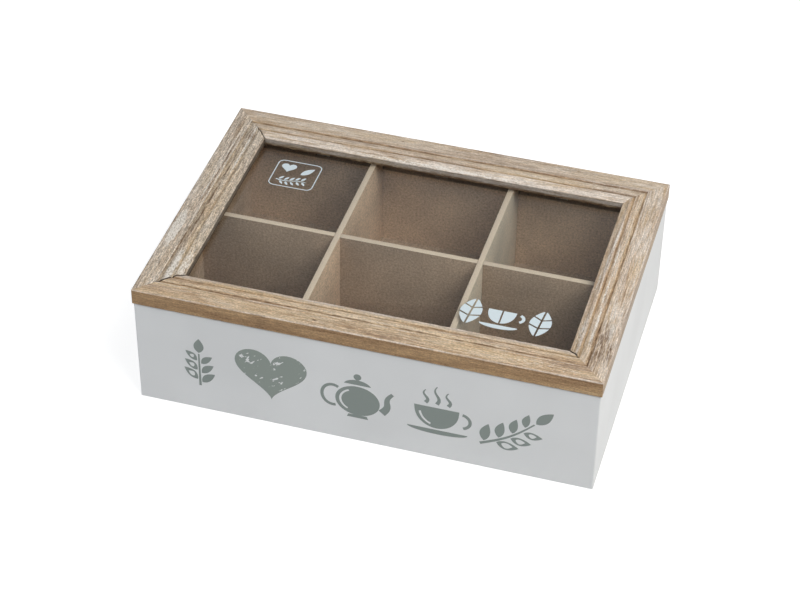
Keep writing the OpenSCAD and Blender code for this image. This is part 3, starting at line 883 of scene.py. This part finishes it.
def rounded_outline(corners):
    """A closed outline through (x, y, radius) corners, each rounded by its radius."""
    outline = []
    count = len(corners)
    for i, (x, y, radius) in enumerate(corners):
        here = Vector((x, y))
        if radius <= 0:
            outline.append(here)
            continue
        before = Vector(corners[i - 1][:2]) - here
        after = Vector(corners[(i + 1) % count][:2]) - here
        half = before.angle(after) / 2
        run = min(radius / math.tan(half), 0.45 * before.length, 0.45 * after.length)
        radius = run * math.tan(half)
        start, end = before.normalized() * run, after.normalized() * run
        centre = (start + end).normalized() * (radius / math.sin(half))
        for step in range(CORNER_STEPS + 1):
            spoke = (start - centre).slerp(end - centre, step / CORNER_STEPS)
            outline.append(here + centre + spoke.normalized() * radius)
    return outline


def resampled(outline, gap):
    """The closed outline with no stretch longer than gap, its first point repeated at the end."""
    points = []
    for i, point in enumerate(outline):
        following = outline[(i + 1) % len(outline)]
        parts = max(1, math.ceil((following - point).length / gap))
        points += [point.lerp(following, step / parts) for step in range(parts)]
    return points + [points[0]]


def moulding_outline():
    """Cross-section of the moulding: x runs in from the outer edge and y up."""
    line_x = BAND_W
    bead_x = line_x + LINE_W
    quirk_x = bead_x + BEAD_W
    ridge_x = quirk_x + QUIRK_W
    cove_x = ridge_x + RIDGE_W
    bead_low = LINE_Y + BEAD_STEP
    side = RAIL_W - REBATE_W
    bead = shallow_arc((bead_x, bead_low), (quirk_x, bead_low), BEAD_RISE - BEAD_STEP, 10)
    cove = shallow_arc((cove_x, RIDGE_Y), (RAIL_W, SIGHT_Y), -COVE_SAG, 10)
    corners = [
        (side, UNDERSIDE_Y, 0.15),
        (0.0, UNDERSIDE_Y, EASED_R),
        (0.0, RAIL_H, EASED_R),
        (line_x, RAIL_H, 0.25),
        (line_x + 0.3, LINE_Y, 0.3),
        (bead_x - 0.15, LINE_Y, 0.3),
        (bead_x, bead_low, 0.05),
        *bead,
        (quirk_x, bead_low, 0.25),
        (quirk_x + 0.2, QUIRK_Y, 0.25),
        (ridge_x - 0.2, QUIRK_Y, 0.25),
        (ridge_x, RIDGE_Y, 0.4),
        (cove_x, RIDGE_Y, 0.9),
        *cove,
        (RAIL_W, SIGHT_Y, 0.35),
        (RAIL_W, REBATE_Y, 0.15),
        (side, REBATE_Y, 0.1),
    ]
    return resampled(rounded_outline(corners), OUTLINE_GAP)


def rail_stations(half):
    """Places along a rail as shares of its half length, closer to each other at the mitres."""
    straight = half - MITRE_ROWS[-1]
    count = round(straight / ROW_GAP)
    inner = [straight * i / count for i in range(count + 1)]
    right = inner + [half - row for row in reversed(MITRE_ROWS[:-1])]
    return [-r / half for r in reversed(right[1:])] + [r / half for r in right]


def worn_by(along, inward, up, outside, seed):
    """How far wear moves a point of the moulding outwards. The rebate and underside have none."""
    if up < REBATE_Y + 0.3 and inward > EASED_R:
        return 0.0
    wave = noise.noise(Vector((along / WAVE_L, inward * 0.9, up * 0.9)) + seed)
    fibre = noise.noise(Vector((along / FIBRE_L, inward * 2.6, up * 2.6)) + seed)
    dent = noise.noise(Vector((along / DENT_L, inward / 3.0, up / 3.0)) + seed)
    at_arris = 1.0 if min(abs(outside.x), abs(outside.y)) > 0.25 else FACE_DENTS
    return WAVE_H * wave + FIBRE_H * fibre - DENT_H * max(0.0, dent - DENT_FROM) * at_arris


def mitre_opening(station, inward, gaps, seed):
    """How far the mitre stands open: a hairline, and from some way in up to its gap."""
    gap, start = gaps[1 if station > 0 else 0]
    opening = min(1.0, max(0.0, (inward - start) / MITRE_RUN)) * gap + MITRE_LEAST
    return opening * (1.0 + 0.5 * noise.noise(Vector((inward / 1.5, seed.x, station))))


def make_rail(name, rail):
    """One mitred length of moulding, worn along its edges and a little open at its mitres."""
    side = rail["side"]
    half = LID_REACH[side % 2]
    reach = LID_REACH[1 - side % 2]
    outline = moulding_outline()
    stations = rail_stations(half)
    columns, rows = len(stations) - 1, len(outline) - 1
    bpy.ops.mesh.primitive_grid_add(x_subdivisions=columns, y_subdivisions=rows, size=1.0)
    piece = bpy.context.object
    piece.name = piece.data.name = "worn_" + name
    turn = Matrix.Rotation(side * math.pi / 2, 4, "Z")
    seed = Vector((91.0 * side, 17.0 * side, 5.0 * side))
    for vertex in piece.data.vertices:
        station = stations[round((vertex.co.x + 0.5) * columns)]
        row = round((vertex.co.y + 0.5) * rows)
        inward, up = outline[row]
        before, after = outline[row - 1 if row else rows - 1], outline[row + 1 if row < rows else 1]
        outside = Vector((before.y - after.y, after.x - before.x)).normalized()
        shift = worn_by(station * (half - inward), inward, up, outside, seed)
        inward += min(shift, 0.0) * outside.x if outside.x < 0 else shift * outside.x
        up += shift * outside.y
        opening = mitre_opening(station, inward, rail["gaps"], seed)
        near = max(0.0, 1.0 - (1.0 - abs(station)) * half / MITRE_REACH)
        along = station * (half - inward) - math.copysign(opening * near, station)
        # The lid's upright corners are rounded too
        corner = Vector((abs(along) - (half - EASED_R), EASED_R - inward))
        if corner.x > 0 and corner.y > 0 and corner.length > EASED_R:
            corner *= EASED_R / corner.length
            along = math.copysign(half - EASED_R + corner.x, along)
            inward = EASED_R - corner.y
        spot = Vector((along, inward - reach, up + LID_LOW.z / MM)) * MM
        vertex.co = turn @ spot
    only(piece)
    bpy.ops.object.mode_set(mode="EDIT")
    bpy.ops.mesh.select_all(action="SELECT")
    bpy.ops.mesh.remove_doubles(threshold=DOUBLES_GAP)
    bpy.ops.mesh.fill_holes(sides=0)
    bpy.ops.mesh.select_all(action="SELECT")
    bpy.ops.mesh.normals_make_consistent(inside=False)
    bpy.ops.object.mode_set(mode="OBJECT")
    bpy.ops.object.shade_smooth_by_angle(angle=math.radians(40))
    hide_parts(name)
    wear(piece, washed_wood(name, rail))
    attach(piece, "lid")


class TEABOX_OT_make_mouldings(Operator):
    """Make the lid's four mitred lengths of limewashed moulding"""

    bl_idname = "teabox.make_mouldings"
    bl_label = "Make the lid's mouldings"

    def execute(self, context):
        for name, rail in RAILS.items():
            make_rail(name, rail)
        return {"FINISHED"}


# ---- Boards, glass and metal ----

# How light the bare side of a wall is, below and above the change of tone. The left wall's
# darker tone and the back wall's dark upper tone are painted shade.
WALL_TONES = {
    "front_wall": (0.95, 0.95),
    "back_wall": (0.95, 0.2),
    "left_wall": (0.78, 0.78),
    "right_wall": (0.95, 0.95),
}
# How light the bare board is low down and near its top, and its share of pale haze. The
# tones are partly painted light and shade: the long divider is darker, most of all near its
# top, as painted shade, and the cross dividers are lighter, as painted light on their faces
# toward the key lamp. The haze is a painted reflection of the glass.
BOARD_TONES = {
    "bottom_panel": (0.64, 0.64, 0.0),
    "long_divider": (0.76, 0.66, 0.0),
    "left_cross_divider": (1.12, 1.12, 0.0),
    "right_cross_divider": (1.14, 1.22, 0.34),
}


class TEABOX_OT_finish_boards(Operator):
    """Paint the walls, and ease and colour the bare boards inside"""

    bl_idname = "teabox.finish_boards"
    bl_label = "Finish the boards"

    def execute(self, context):
        for node, (tone, top_tone) in WALL_TONES.items():
            wear(frame["nodes"][node], painted_fibreboard(node, tone, top_tone))
        for node, (tone, top_tone, painted_haze) in BOARD_TONES.items():
            piece = merged_copy(node, "eased_" + node)
            ease_edges(piece, context.scene.tea_board.ease)
            wear(piece, bare_fibreboard(node, tone, top_tone, painted_haze))
            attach(piece, "box")
        return {"FINISHED"}


class TEABOX_OT_make_glass(Operator):
    """Make the pane of float glass with its arrised edges"""

    bl_idname = "teabox.make_glass"
    bl_label = "Make the glass"

    def execute(self, context):
        pane = merged_copy("glass_pane", "arrised_glass_pane")
        ease_edges(pane, context.scene.tea_fittings.glass_ease, steps=1)
        wear(pane, float_glass())
        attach(pane, "lid")
        return {"FINISHED"}


class TEABOX_OT_finish_metal(Operator):
    """Finish the hinges, screws, brads, nails and glazing points"""

    bl_idname = "teabox.finish_metal"
    bl_label = "Finish the metal"

    def execute(self, context):
        look = context.scene.tea_fittings
        leaf_brass = tumbled_metal("pressed_brass", look.leaf, 0.3)
        pin_brass = tumbled_metal("drawn_brass", look.pin, 0.25)
        screw_brass = tumbled_metal("turned_brass", look.screw, 0.22)
        steel = tumbled_metal("drawn_steel", look.steel, 0.35)
        for side in ("left", "right"):
            for level, body in (("upper", "lid"), ("lower", "box")):
                node = f"{side}_hinge_{level}_leaf"
                piece = merged_copy(node, "pressed_" + node)
                ease_edges(piece, look.leaf_ease)
                wear(piece, leaf_brass)
                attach(piece, body)
            wear(frame["nodes"][f"{side}_hinge_pin"], pin_brass)
        for node in ("upper_hinge_screws", "lower_hinge_screws"):
            wear(frame["nodes"][node], screw_brass)
        for node in ("wall_brads", "bottom_brads", "glazing_points", "mitre_nails"):
            wear(frame["nodes"][node], steel)
        return {"FINISHED"}


# ---- Printed motifs ----


def leaf(base, tip, width, bend=0.0, steps=10):
    """Outline of an almond-shaped leaf from its base to its tip. A bend curves its middle."""
    base, tip = Vector(base), Vector(tip)
    left = Vector((base.y - tip.y, tip.x - base.x)).normalized()

    def point(t, side):
        middle = base.lerp(tip, t) + left * bend * math.sin(math.pi * t)
        return middle + left * side * width / 2 * math.sin(math.pi * t**0.85) ** 0.9

    right_edge = [point(i / steps, -1) for i in range(steps)]
    left_edge = [point(1 - i / steps, 1) for i in range(steps)]
    return right_edge + left_edge


def hollow_leaf(base, tip, width, bend, line=0.75):
    """A leaf drawn in line: its outline and the outline of its open middle."""
    base, tip = Vector(base), Vector(tip)
    inner_base = base.lerp(tip, 1.6 * line / width)
    inner_tip = tip.lerp(base, 1.9 * line / width)
    return [
        leaf(base, tip, width, bend),
        leaf(inner_base, inner_tip, width - 2.4 * line, bend),
    ]


def stroke(centre, widths):
    """Outline of a stroke along the points of centre, as wide as widths says at its two ends."""
    points = [Vector(p) for p in centre]
    left_edge, right_edge = [], []
    for i, point in enumerate(points):
        ahead = points[min(i + 1, len(points) - 1)] - points[max(i - 1, 0)]
        left = Vector((-ahead.y, ahead.x)).normalized()
        half = (widths[0] + (widths[1] - widths[0]) * i / (len(points) - 1)) / 2
        left_edge.append(point + left * half)
        right_edge.append(point - left * half)
    return right_edge + left_edge[::-1]


def turn_points(centre, radius, start, end, steps=16):
    """Points on an arc, or on an oval where radius has two values, from start to end degrees."""
    rx, ry = radius if isinstance(radius, tuple) else (radius, radius)
    angles = [math.radians(start + (end - start) * i / steps) for i in range(steps + 1)]
    return [Vector((centre[0] + rx * math.cos(a), centre[1] + ry * math.sin(a))) for a in angles]


def heart(width, height, steps=64):
    """The common playing-card heart, its tip at the origin."""
    angles = [2 * math.pi * i / steps for i in range(steps)]
    across = [16 * math.sin(a) ** 3 for a in angles]
    high = [
        13 * math.cos(a) - 5 * math.cos(2 * a) - 2 * math.cos(3 * a) - math.cos(4 * a)
        for a in angles
    ]
    low, top = min(high), max(high)
    return [
        Vector((x * width / 32, (y - low) * height / (top - low))) for x, y in zip(across, high)
    ]


def sprig(height, leaf_size):
    """An upright sprig: solid leaves on the right and leaves in line on the left."""
    shapes = [stroke([(0.0, height * 0.68 * i / 8) for i in range(9)], (1.3, 0.8))]
    for i in range(3):
        y = height * (0.08 + 0.2 * i)
        size = leaf_size * (1 - 0.08 * i)
        rise = Vector((0.74, 0.68)) * size
        shapes.append(leaf((1.1, y), (1.1 + rise.x, y + rise.y), size * 0.46, 0.4))
        foot, tip = (-1.1, y + 1.6), (-1.1 - rise.x, y + 1.6 + rise.y)
        shapes += hollow_leaf(foot, tip, size * 0.48, -0.4)
    shapes.append(leaf((0.0, height * 0.68 + 0.7), (0.3, height), leaf_size * 0.56))
    return shapes


def teapot():
    """A round pot with its foot, lid, knob, spout and handle set a little apart."""
    body = turn_points((0.0, 11.4), (11.6, 9.6), 0, 351, 39)
    shine = turn_points((0.0, 11.4), (9.6, 7.8), 120, 235, 18)
    shine += turn_points((0.0, 11.4), (8.4, 6.8), 235, 120, 18)
    foot = [Vector(p) for p in ((-5.6, 0.0), (5.6, 0.0), (4.8, 1.9), (-4.8, 1.9))]
    cover = turn_points((0.0, 20.6), (7.4, 4.6), 18, 162, 20)
    knob = turn_points((0.0, 27.2), 2.0, 0, 345, 23)
    spout_steps = [i / 12 for i in range(13)]
    bow = [1.1 * math.sin(2 * math.pi * t) for t in spout_steps]
    curve = [(12.6 + 5.6 * t + x, 6.6 + 13.6 * t) for t, x in zip(spout_steps, bow)]
    spout = stroke(curve, (4.4, 1.9))
    handle = stroke(turn_points((-13.0, 12.6), (5.6, 6.6), 58, 286, 20), (1.7, 1.7))
    return [body, shine, foot, cover, knob, spout, handle]


def cup():
    """A cup on its saucer with three curls of steam."""
    bowl = [Vector((-13.6, 17.6))] + turn_points((-2.0, 15.9), (11.4, 12.0), 188, 352, 28)
    bowl.append(Vector((9.6, 17.6)))
    shine = turn_points((-2.0, 15.5), (9.4, 10.2), 190, 250, 14)
    shine += turn_points((-2.0, 15.5), (8.2, 9.0), 250, 190, 14)
    ear = stroke(turn_points((10.2, 11.8), (5.0, 4.6), -72, 78, 16), (1.7, 1.7))
    saucer = turn_points((-1.5, 2.9), (15.6, 2.9), 180, 360, 24)
    shapes = [bowl, shine, ear, saucer]
    for x, low, high in ((-7.8, 20.0, 28.5), (-2.0, 20.0, 31.4), (3.8, 20.0, 28.5)):
        curl = [
            (x + 1.1 * math.sin(2 * math.pi * i / 12), low + (high - low) * i / 12)
            for i in range(13)
        ]
        shapes.append(stroke(curl, (2.1, 0.5)))
    return shapes


def branch():
    """A branch that leans to the right, its leaves solid above and in line below."""
    start, end = Vector((-18.0, 0.8)), Vector((9.0, 20.0))
    side = Vector((start.y - end.y, end.x - start.x)).normalized()
    spine = [start.lerp(end, i / 12) - side * 2.0 * math.sin(math.pi * i / 12) for i in range(13)]
    shapes = [stroke(spine, (1.6, 0.8))]
    for i in (1, 4, 7, 10):
        size = 12.0 - 0.3 * i
        foot = spine[i] + side * 1.2
        shapes.append(leaf(foot, foot + Vector((0.18, 0.98)) * size, size * 0.46, 0.5))
    for i in (3, 6, 9):
        size = 12.6 - 0.3 * i
        foot = spine[i] - side * 1.2
        tip = foot + Vector((0.98, -0.14)) * size
        shapes += hollow_leaf(foot, tip, size * 0.46, -0.5)
    shapes.append(leaf(spine[-1] + Vector((0.8, 0.6)), spine[-1] + Vector((9.2, 9.4)), 5.6))
    return shapes


def stencil_leaf(lean):
    """A stencil leaf: bridges along its rib and veins cut it into six fields."""
    tip = Vector((lean, 19.5))
    left = Vector((-tip.y, tip.x)).normalized()
    shapes = []
    for side in (-1, 1):
        for low, high in ((0.0, 0.3), (0.35, 0.62), (0.67, 1.0)):
            rib = [tip * (low + (high - low) * i / 6) + left * side * 0.5 for i in range(7)]
            edge = []
            for i in range(9):
                t = high + (low - high) * i / 8
                t += 0.1 * math.sin(math.pi * t)
                swell = 5.0 * math.sin(math.pi * min(t, 1.0)) ** 0.8
                edge.append(tip * t + left * side * (0.5 + swell))
            shapes.append(rib + edge)
    return shapes


def stencil_cup():
    """A stencil cup: its bowl in two halves, its ear and its saucer, with bridges between."""
    left_half = [Vector((-0.5, 16.5)), Vector((-8.6, 16.5))]
    left_half += turn_points((-0.5, 15.4), (8.0, 10.2), 186, 270, 14)
    right_half = turn_points((0.5, 15.4), (7.6, 10.2), 270, 354, 14)
    right_half += [Vector((8.2, 16.5)), Vector((0.5, 16.5))]
    ear = stroke(turn_points((9.2, 12.0), (3.8, 3.4), -60, 66, 12), (1.9, 1.9))
    saucer = turn_points((0.0, 3.4), (11.4, 3.2), 180, 360, 20)
    return [left_half, right_half, ear, saucer]


def badge():
    """A rounded frame around a small heart, a leaf and a lying sprig."""
    half_w, half_h, r, line = 12.0, 11.2, 3.0, 0.28
    shapes = []
    for grow in (line, -line):
        ring = []
        for quarter, (sx, sy) in enumerate(((1, 1), (-1, 1), (-1, -1), (1, -1))):
            centre = (sx * (half_w - r), sy * (half_h - r))
            ring += turn_points(centre, r + grow, 90 * quarter, 90 * quarter + 90, 8)
        shapes.append(ring)
    shapes.append([p + Vector((-5.4, 1.2)) for p in heart(8.4, 7.4, 40)])
    shapes.append(leaf((2.6, 0.8), (8.8, 7.6), 3.6))
    spine = [(x, -5.6 + 0.8 * math.sin(x / 3.2)) for x in [-9 + 1.5 * i for i in range(12)]]
    shapes.append(stroke(spine, (0.7, 0.4)))
    for i in range(1, 11, 2):
        x, y = spine[i]
        shapes.append(leaf((x, y + 0.7), (x + 2.2, y + 3.6), 1.4, steps=7))
        shapes.append(leaf((x + 0.9, y - 0.7), (x + 3.1, y - 3.3), 1.4, steps=7))
    return shapes


def print_motif(name, shapes, middle, turn, material, body, size=1.0):
    """Prints closed outlines as one thin film, turned from the XY plane and put at middle."""
    look = bpy.context.scene.tea_print
    bpy.ops.curve.primitive_bezier_circle_add()
    film = bpy.context.object
    film.name = film.data.name = name
    film.data.splines.clear()
    film.data.dimensions = "2D"
    film.data.fill_mode = "BOTH"
    film.data.extrude = look.thickness / MM
    for shape in shapes:
        spline = film.data.splines.new("POLY")
        spline.points.add(len(shape) - 1)
        spline.use_cyclic_u = True
        for point, place in zip(spline.points, shape):
            point.co = (place[0] * size, place[1] * size, 0.0, 1.0)
    only(film)
    bpy.ops.object.convert(target="MESH")
    film = bpy.context.object
    film.data.transform(Matrix.Translation(middle) @ turn @ Matrix.Scale(MM, 4))
    film.matrix_world = Matrix.Identity(4)
    bpy.ops.object.mode_set(mode="EDIT")
    bpy.ops.mesh.select_all(action="SELECT")
    bpy.ops.mesh.remove_doubles(threshold=FILM_DOUBLES_GAP)
    bpy.ops.mesh.normals_make_consistent(inside=False)
    bpy.ops.object.mode_set(mode="OBJECT")
    bpy.ops.object.shade_flat()
    wear(film, material)
    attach(film, body)


# Motifs on the front: x of the middle and z of the foot, in millimetres
FRONT_MOTIFS = {
    "printed_sprig": (-86.0, 16.0),
    "printed_heart": (-47.8, 16.2),
    "printed_teapot": (-2.4, 15.8),
    "printed_cup": (40.5, 15.8),
    "printed_branch": (79.0, 15.4),
}
# Where the heart's ink is chipped: x and z of the middle of a spot and its reach
HEART_WEAR = ((-61, 40, 9), (-46, 41, 6), (-54, 28, 7), (-45, 29, 5))
# Motifs on the glass: x and y of the foot, and the scale
GLASS_MOTIFS = {
    "printed_stencil_leaf_left": (43.4, -51.2, 1.0),
    "printed_stencil_cup": (59.8, -51.2, 0.86),
    "printed_stencil_leaf_right": (78.8, -51.2, 1.0),
    "printed_badge": (-74.6, 40.0, 1.0),
}


class TEABOX_OT_print_front(Operator):
    """Print the grey-green motifs on the front"""

    bl_idname = "teabox.print_front"
    bl_label = "Print the front"

    def execute(self, context):
        ink = context.scene.tea_print
        board = context.scene.tea_board
        fresh = screen_ink("grey_screen_ink", ink.grey)
        spots = [(x, FRONT_LOW.y / MM, z, reach) for x, z, reach in HEART_WEAR]
        chipped = screen_ink("chipped_grey_screen_ink", ink.heart, board.paint, spots)
        shapes = {
            "printed_sprig": sprig(31.0, 9.6),
            "printed_heart": [heart(38.0, 31.2)],
            "printed_teapot": teapot(),
            "printed_cup": cup(),
            "printed_branch": branch(),
        }
        upright = Matrix.Rotation(math.pi / 2, 4, "X")
        for name, (x, z) in FRONT_MOTIFS.items():
            material = chipped if name == "printed_heart" else fresh
            place = (x * MM, FRONT_LOW.y, z * MM)
            print_motif(name, shapes[name], place, upright, material, "box")
        return {"FINISHED"}


class TEABOX_OT_print_glass(Operator):
    """Print the pale stencil motifs and the badge on the glass"""

    bl_idname = "teabox.print_glass"
    bl_label = "Print the glass"

    def execute(self, context):
        pale = screen_ink("pale_screen_ink", context.scene.tea_print.pale)
        shapes = {
            "printed_stencil_leaf_left": stencil_leaf(1.6),
            "printed_stencil_cup": stencil_cup(),
            "printed_stencil_leaf_right": stencil_leaf(1.6),
            "printed_badge": badge(),
        }
        flat = Matrix.Identity(4)
        for name, (x, y, size) in GLASS_MOTIFS.items():
            place = (x * MM, y * MM, GLASS_HIGH.z)
            print_motif(name, shapes[name], place, flat, pale, "lid", size)
        return {"FINISHED"}


# ---- Studio ----

# Lamps: place and size in metres, share of the key lamp's power, and setting of the colour
LAMPS = {
    "key_lamp": ((0.7, -0.46, 1.22), 0.8, 1.0, "key_colour"),
    "fill_lamp": ((-0.9, -1.2, 0.7), 1.2, 0.19, "fill_colour"),
}


def seen_rays(tree, rays):
    """1 for rays that show the studio: to the camera, mirrored, or through glass."""
    seen = {0: rays["Is Camera Ray"], 1: rays["Is Glossy Ray"]}
    seen = add(tree, "Math", seen, operation="MAXIMUM")
    return add(tree, "Math", {0: seen, 1: rays["Is Transmission Ray"]}, operation="MAXIMUM")


class TEABOX_OT_set_studio(Operator):
    """Set up the camera, lamps, sky and floor"""

    bl_idname = "teabox.set_studio"
    bl_label = "Set up the studio"

    def execute(self, context):
        self.add_camera(context)
        self.add_lamps(context)
        self.add_sky(context)
        self.add_floor(context)
        return {"FINISHED"}

    def add_camera(self, context):
        """Adds the camera at its distance from the point that it aims at."""
        studio = context.scene.tea_studio
        a, e, roll = studio.azimuth, studio.elevation, studio.roll
        back = Vector((math.sin(a) * math.cos(e), -math.cos(a) * math.cos(e), math.sin(e)))
        level = (-back).cross(Vector((0, 0, 1))).normalized()
        upright = level.cross(-back)
        right = level * math.cos(roll) + upright * math.sin(roll)
        up = upright * math.cos(roll) - level * math.sin(roll)
        bpy.ops.object.camera_add()
        camera = context.object
        camera.name = "camera"
        camera.data.sensor_width = 36.0
        camera.data.lens = studio.lens
        camera.data.clip_start = 0.01
        camera.data.clip_end = 50.0
        place = Matrix.Translation(Vector(studio.aim) + back * studio.distance)
        camera.matrix_world = place @ Matrix((right, up, back)).transposed().to_4x4()
        context.scene.camera = camera

    def add_lamps(self, context):
        """Adds the area lamps, which face the box."""
        studio = context.scene.tea_studio
        for name, (place, size, share, colour) in LAMPS.items():
            bpy.ops.object.light_add(type="AREA", location=place)
            lamp = context.object
            lamp.name = name
            lamp.data.size = size
            lamp.data.energy = studio.key * share
            lamp.data.color = getattr(studio, colour)[:3]
            lamp.rotation_euler = (-Vector(place)).to_track_quat("-Z", "Y").to_euler()

    def add_sky(self, context):
        """Adds the even light from all round. What is seen of it is white."""
        studio = context.scene.tea_studio
        world = bpy.data.worlds.new("studio_sky")
        world.use_nodes = True
        context.scene.world = world
        tree = world.node_tree
        tree.nodes.clear()
        rays = add(tree, "LightPath").outputs
        # Reflections show the studio's darker ceiling
        direction = add(tree, "TexCoord").outputs["Generated"]
        height = add(tree, "SeparateXYZ", {0: direction}).outputs["Z"]
        ceiling = add(tree, "MapRange", {0: height, 1: 0.15, 2: 0.7, 3: 0.0, 4: 0.8})
        ceiling = {0: ceiling, 1: rays["Is Glossy Ray"]}
        ceiling = add(tree, "Math", ceiling, operation="MULTIPLY")
        white = add(tree, "Math", {0: 1.0, 1: ceiling}, operation="SUBTRACT")
        white = add(tree, "Background", {"Color": linear("#FFFFFF"), "Strength": white})
        light = add(tree, "Background", {"Color": studio.sky_colour, "Strength": studio.sky})
        sky = add(tree, "MixShader", {0: seen_rays(tree, rays), 1: light, 2: white})
        add(tree, "OutputWorld", {"Surface": sky})

    def add_floor(self, context):
        """Adds the pale floor, which takes the box's shadow."""
        bpy.ops.mesh.primitive_plane_add(size=40.0)
        floor = context.object
        floor.name = "studio_floor"
        material, tree = add_material("pale_studio_floor")
        seen = seen_rays(tree, add(tree, "LightPath").outputs)
        glow = add(tree, "Math", {0: seen, 1: 0.8}, operation="MULTIPLY")
        glow = add(tree, "Emission", {"Color": linear("#FFFFFF"), "Strength": glow})
        matt = add(tree, "BsdfDiffuse", {"Color": context.scene.tea_studio.floor})
        add(tree, "OutputMaterial", {"Surface": add(tree, "AddShader", {0: matt, 1: glow})})
        wear(floor, material)


# ---- Add-on ----

SETTINGS = {
    "tea_wood": WoodSettings,
    "tea_board": BoardSettings,
    "tea_fittings": FittingSettings,
    "tea_print": PrintSettings,
    "tea_studio": StudioSettings,
}
STEPS = (
    TEABOX_OT_set_studio,
    TEABOX_OT_finish_boards,
    TEABOX_OT_make_mouldings,
    TEABOX_OT_make_glass,
    TEABOX_OT_finish_metal,
    TEABOX_OT_print_front,
    TEABOX_OT_print_glass,
)


class TEABOX_PT_steps(Panel):
    """Steps that dress the tea bag organizer box, and their settings"""

    bl_idname = "TEABOX_PT_steps"
    bl_label = "Tea bag organizer box"
    bl_space_type = "VIEW_3D"
    bl_region_type = "UI"
    bl_category = "Tea box"

    def draw(self, context):
        for step in STEPS:
            self.layout.operator(step.bl_idname)
        for group, cls in SETTINGS.items():
            box = self.layout.box()
            for name in cls.__annotations__:
                box.prop(getattr(context.scene, group), name)


CLASSES = (*SETTINGS.values(), *STEPS, TEABOX_PT_steps)


def register():
    """Registers the settings, the steps and the panel."""
    for cls in CLASSES:
        bpy.utils.register_class(cls)
    for group, cls in SETTINGS.items():
        setattr(bpy.types.Scene, group, PointerProperty(type=cls))


def unregister():
    """Removes what register made."""
    for group in SETTINGS:
        delattr(bpy.types.Scene, group)
    for cls in reversed(CLASSES):
        bpy.utils.unregister_class(cls)


def main():
    """Registers the add-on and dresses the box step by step."""
    register()
    bpy.context.scene.view_settings.view_transform = "Standard"
    bpy.ops.teabox.set_studio()
    bpy.ops.teabox.finish_boards()
    bpy.ops.teabox.make_mouldings()
    bpy.ops.teabox.make_glass()
    bpy.ops.teabox.finish_metal()
    bpy.ops.teabox.print_front()
    bpy.ops.teabox.print_glass()


if __name__ == "__main__":
    main()
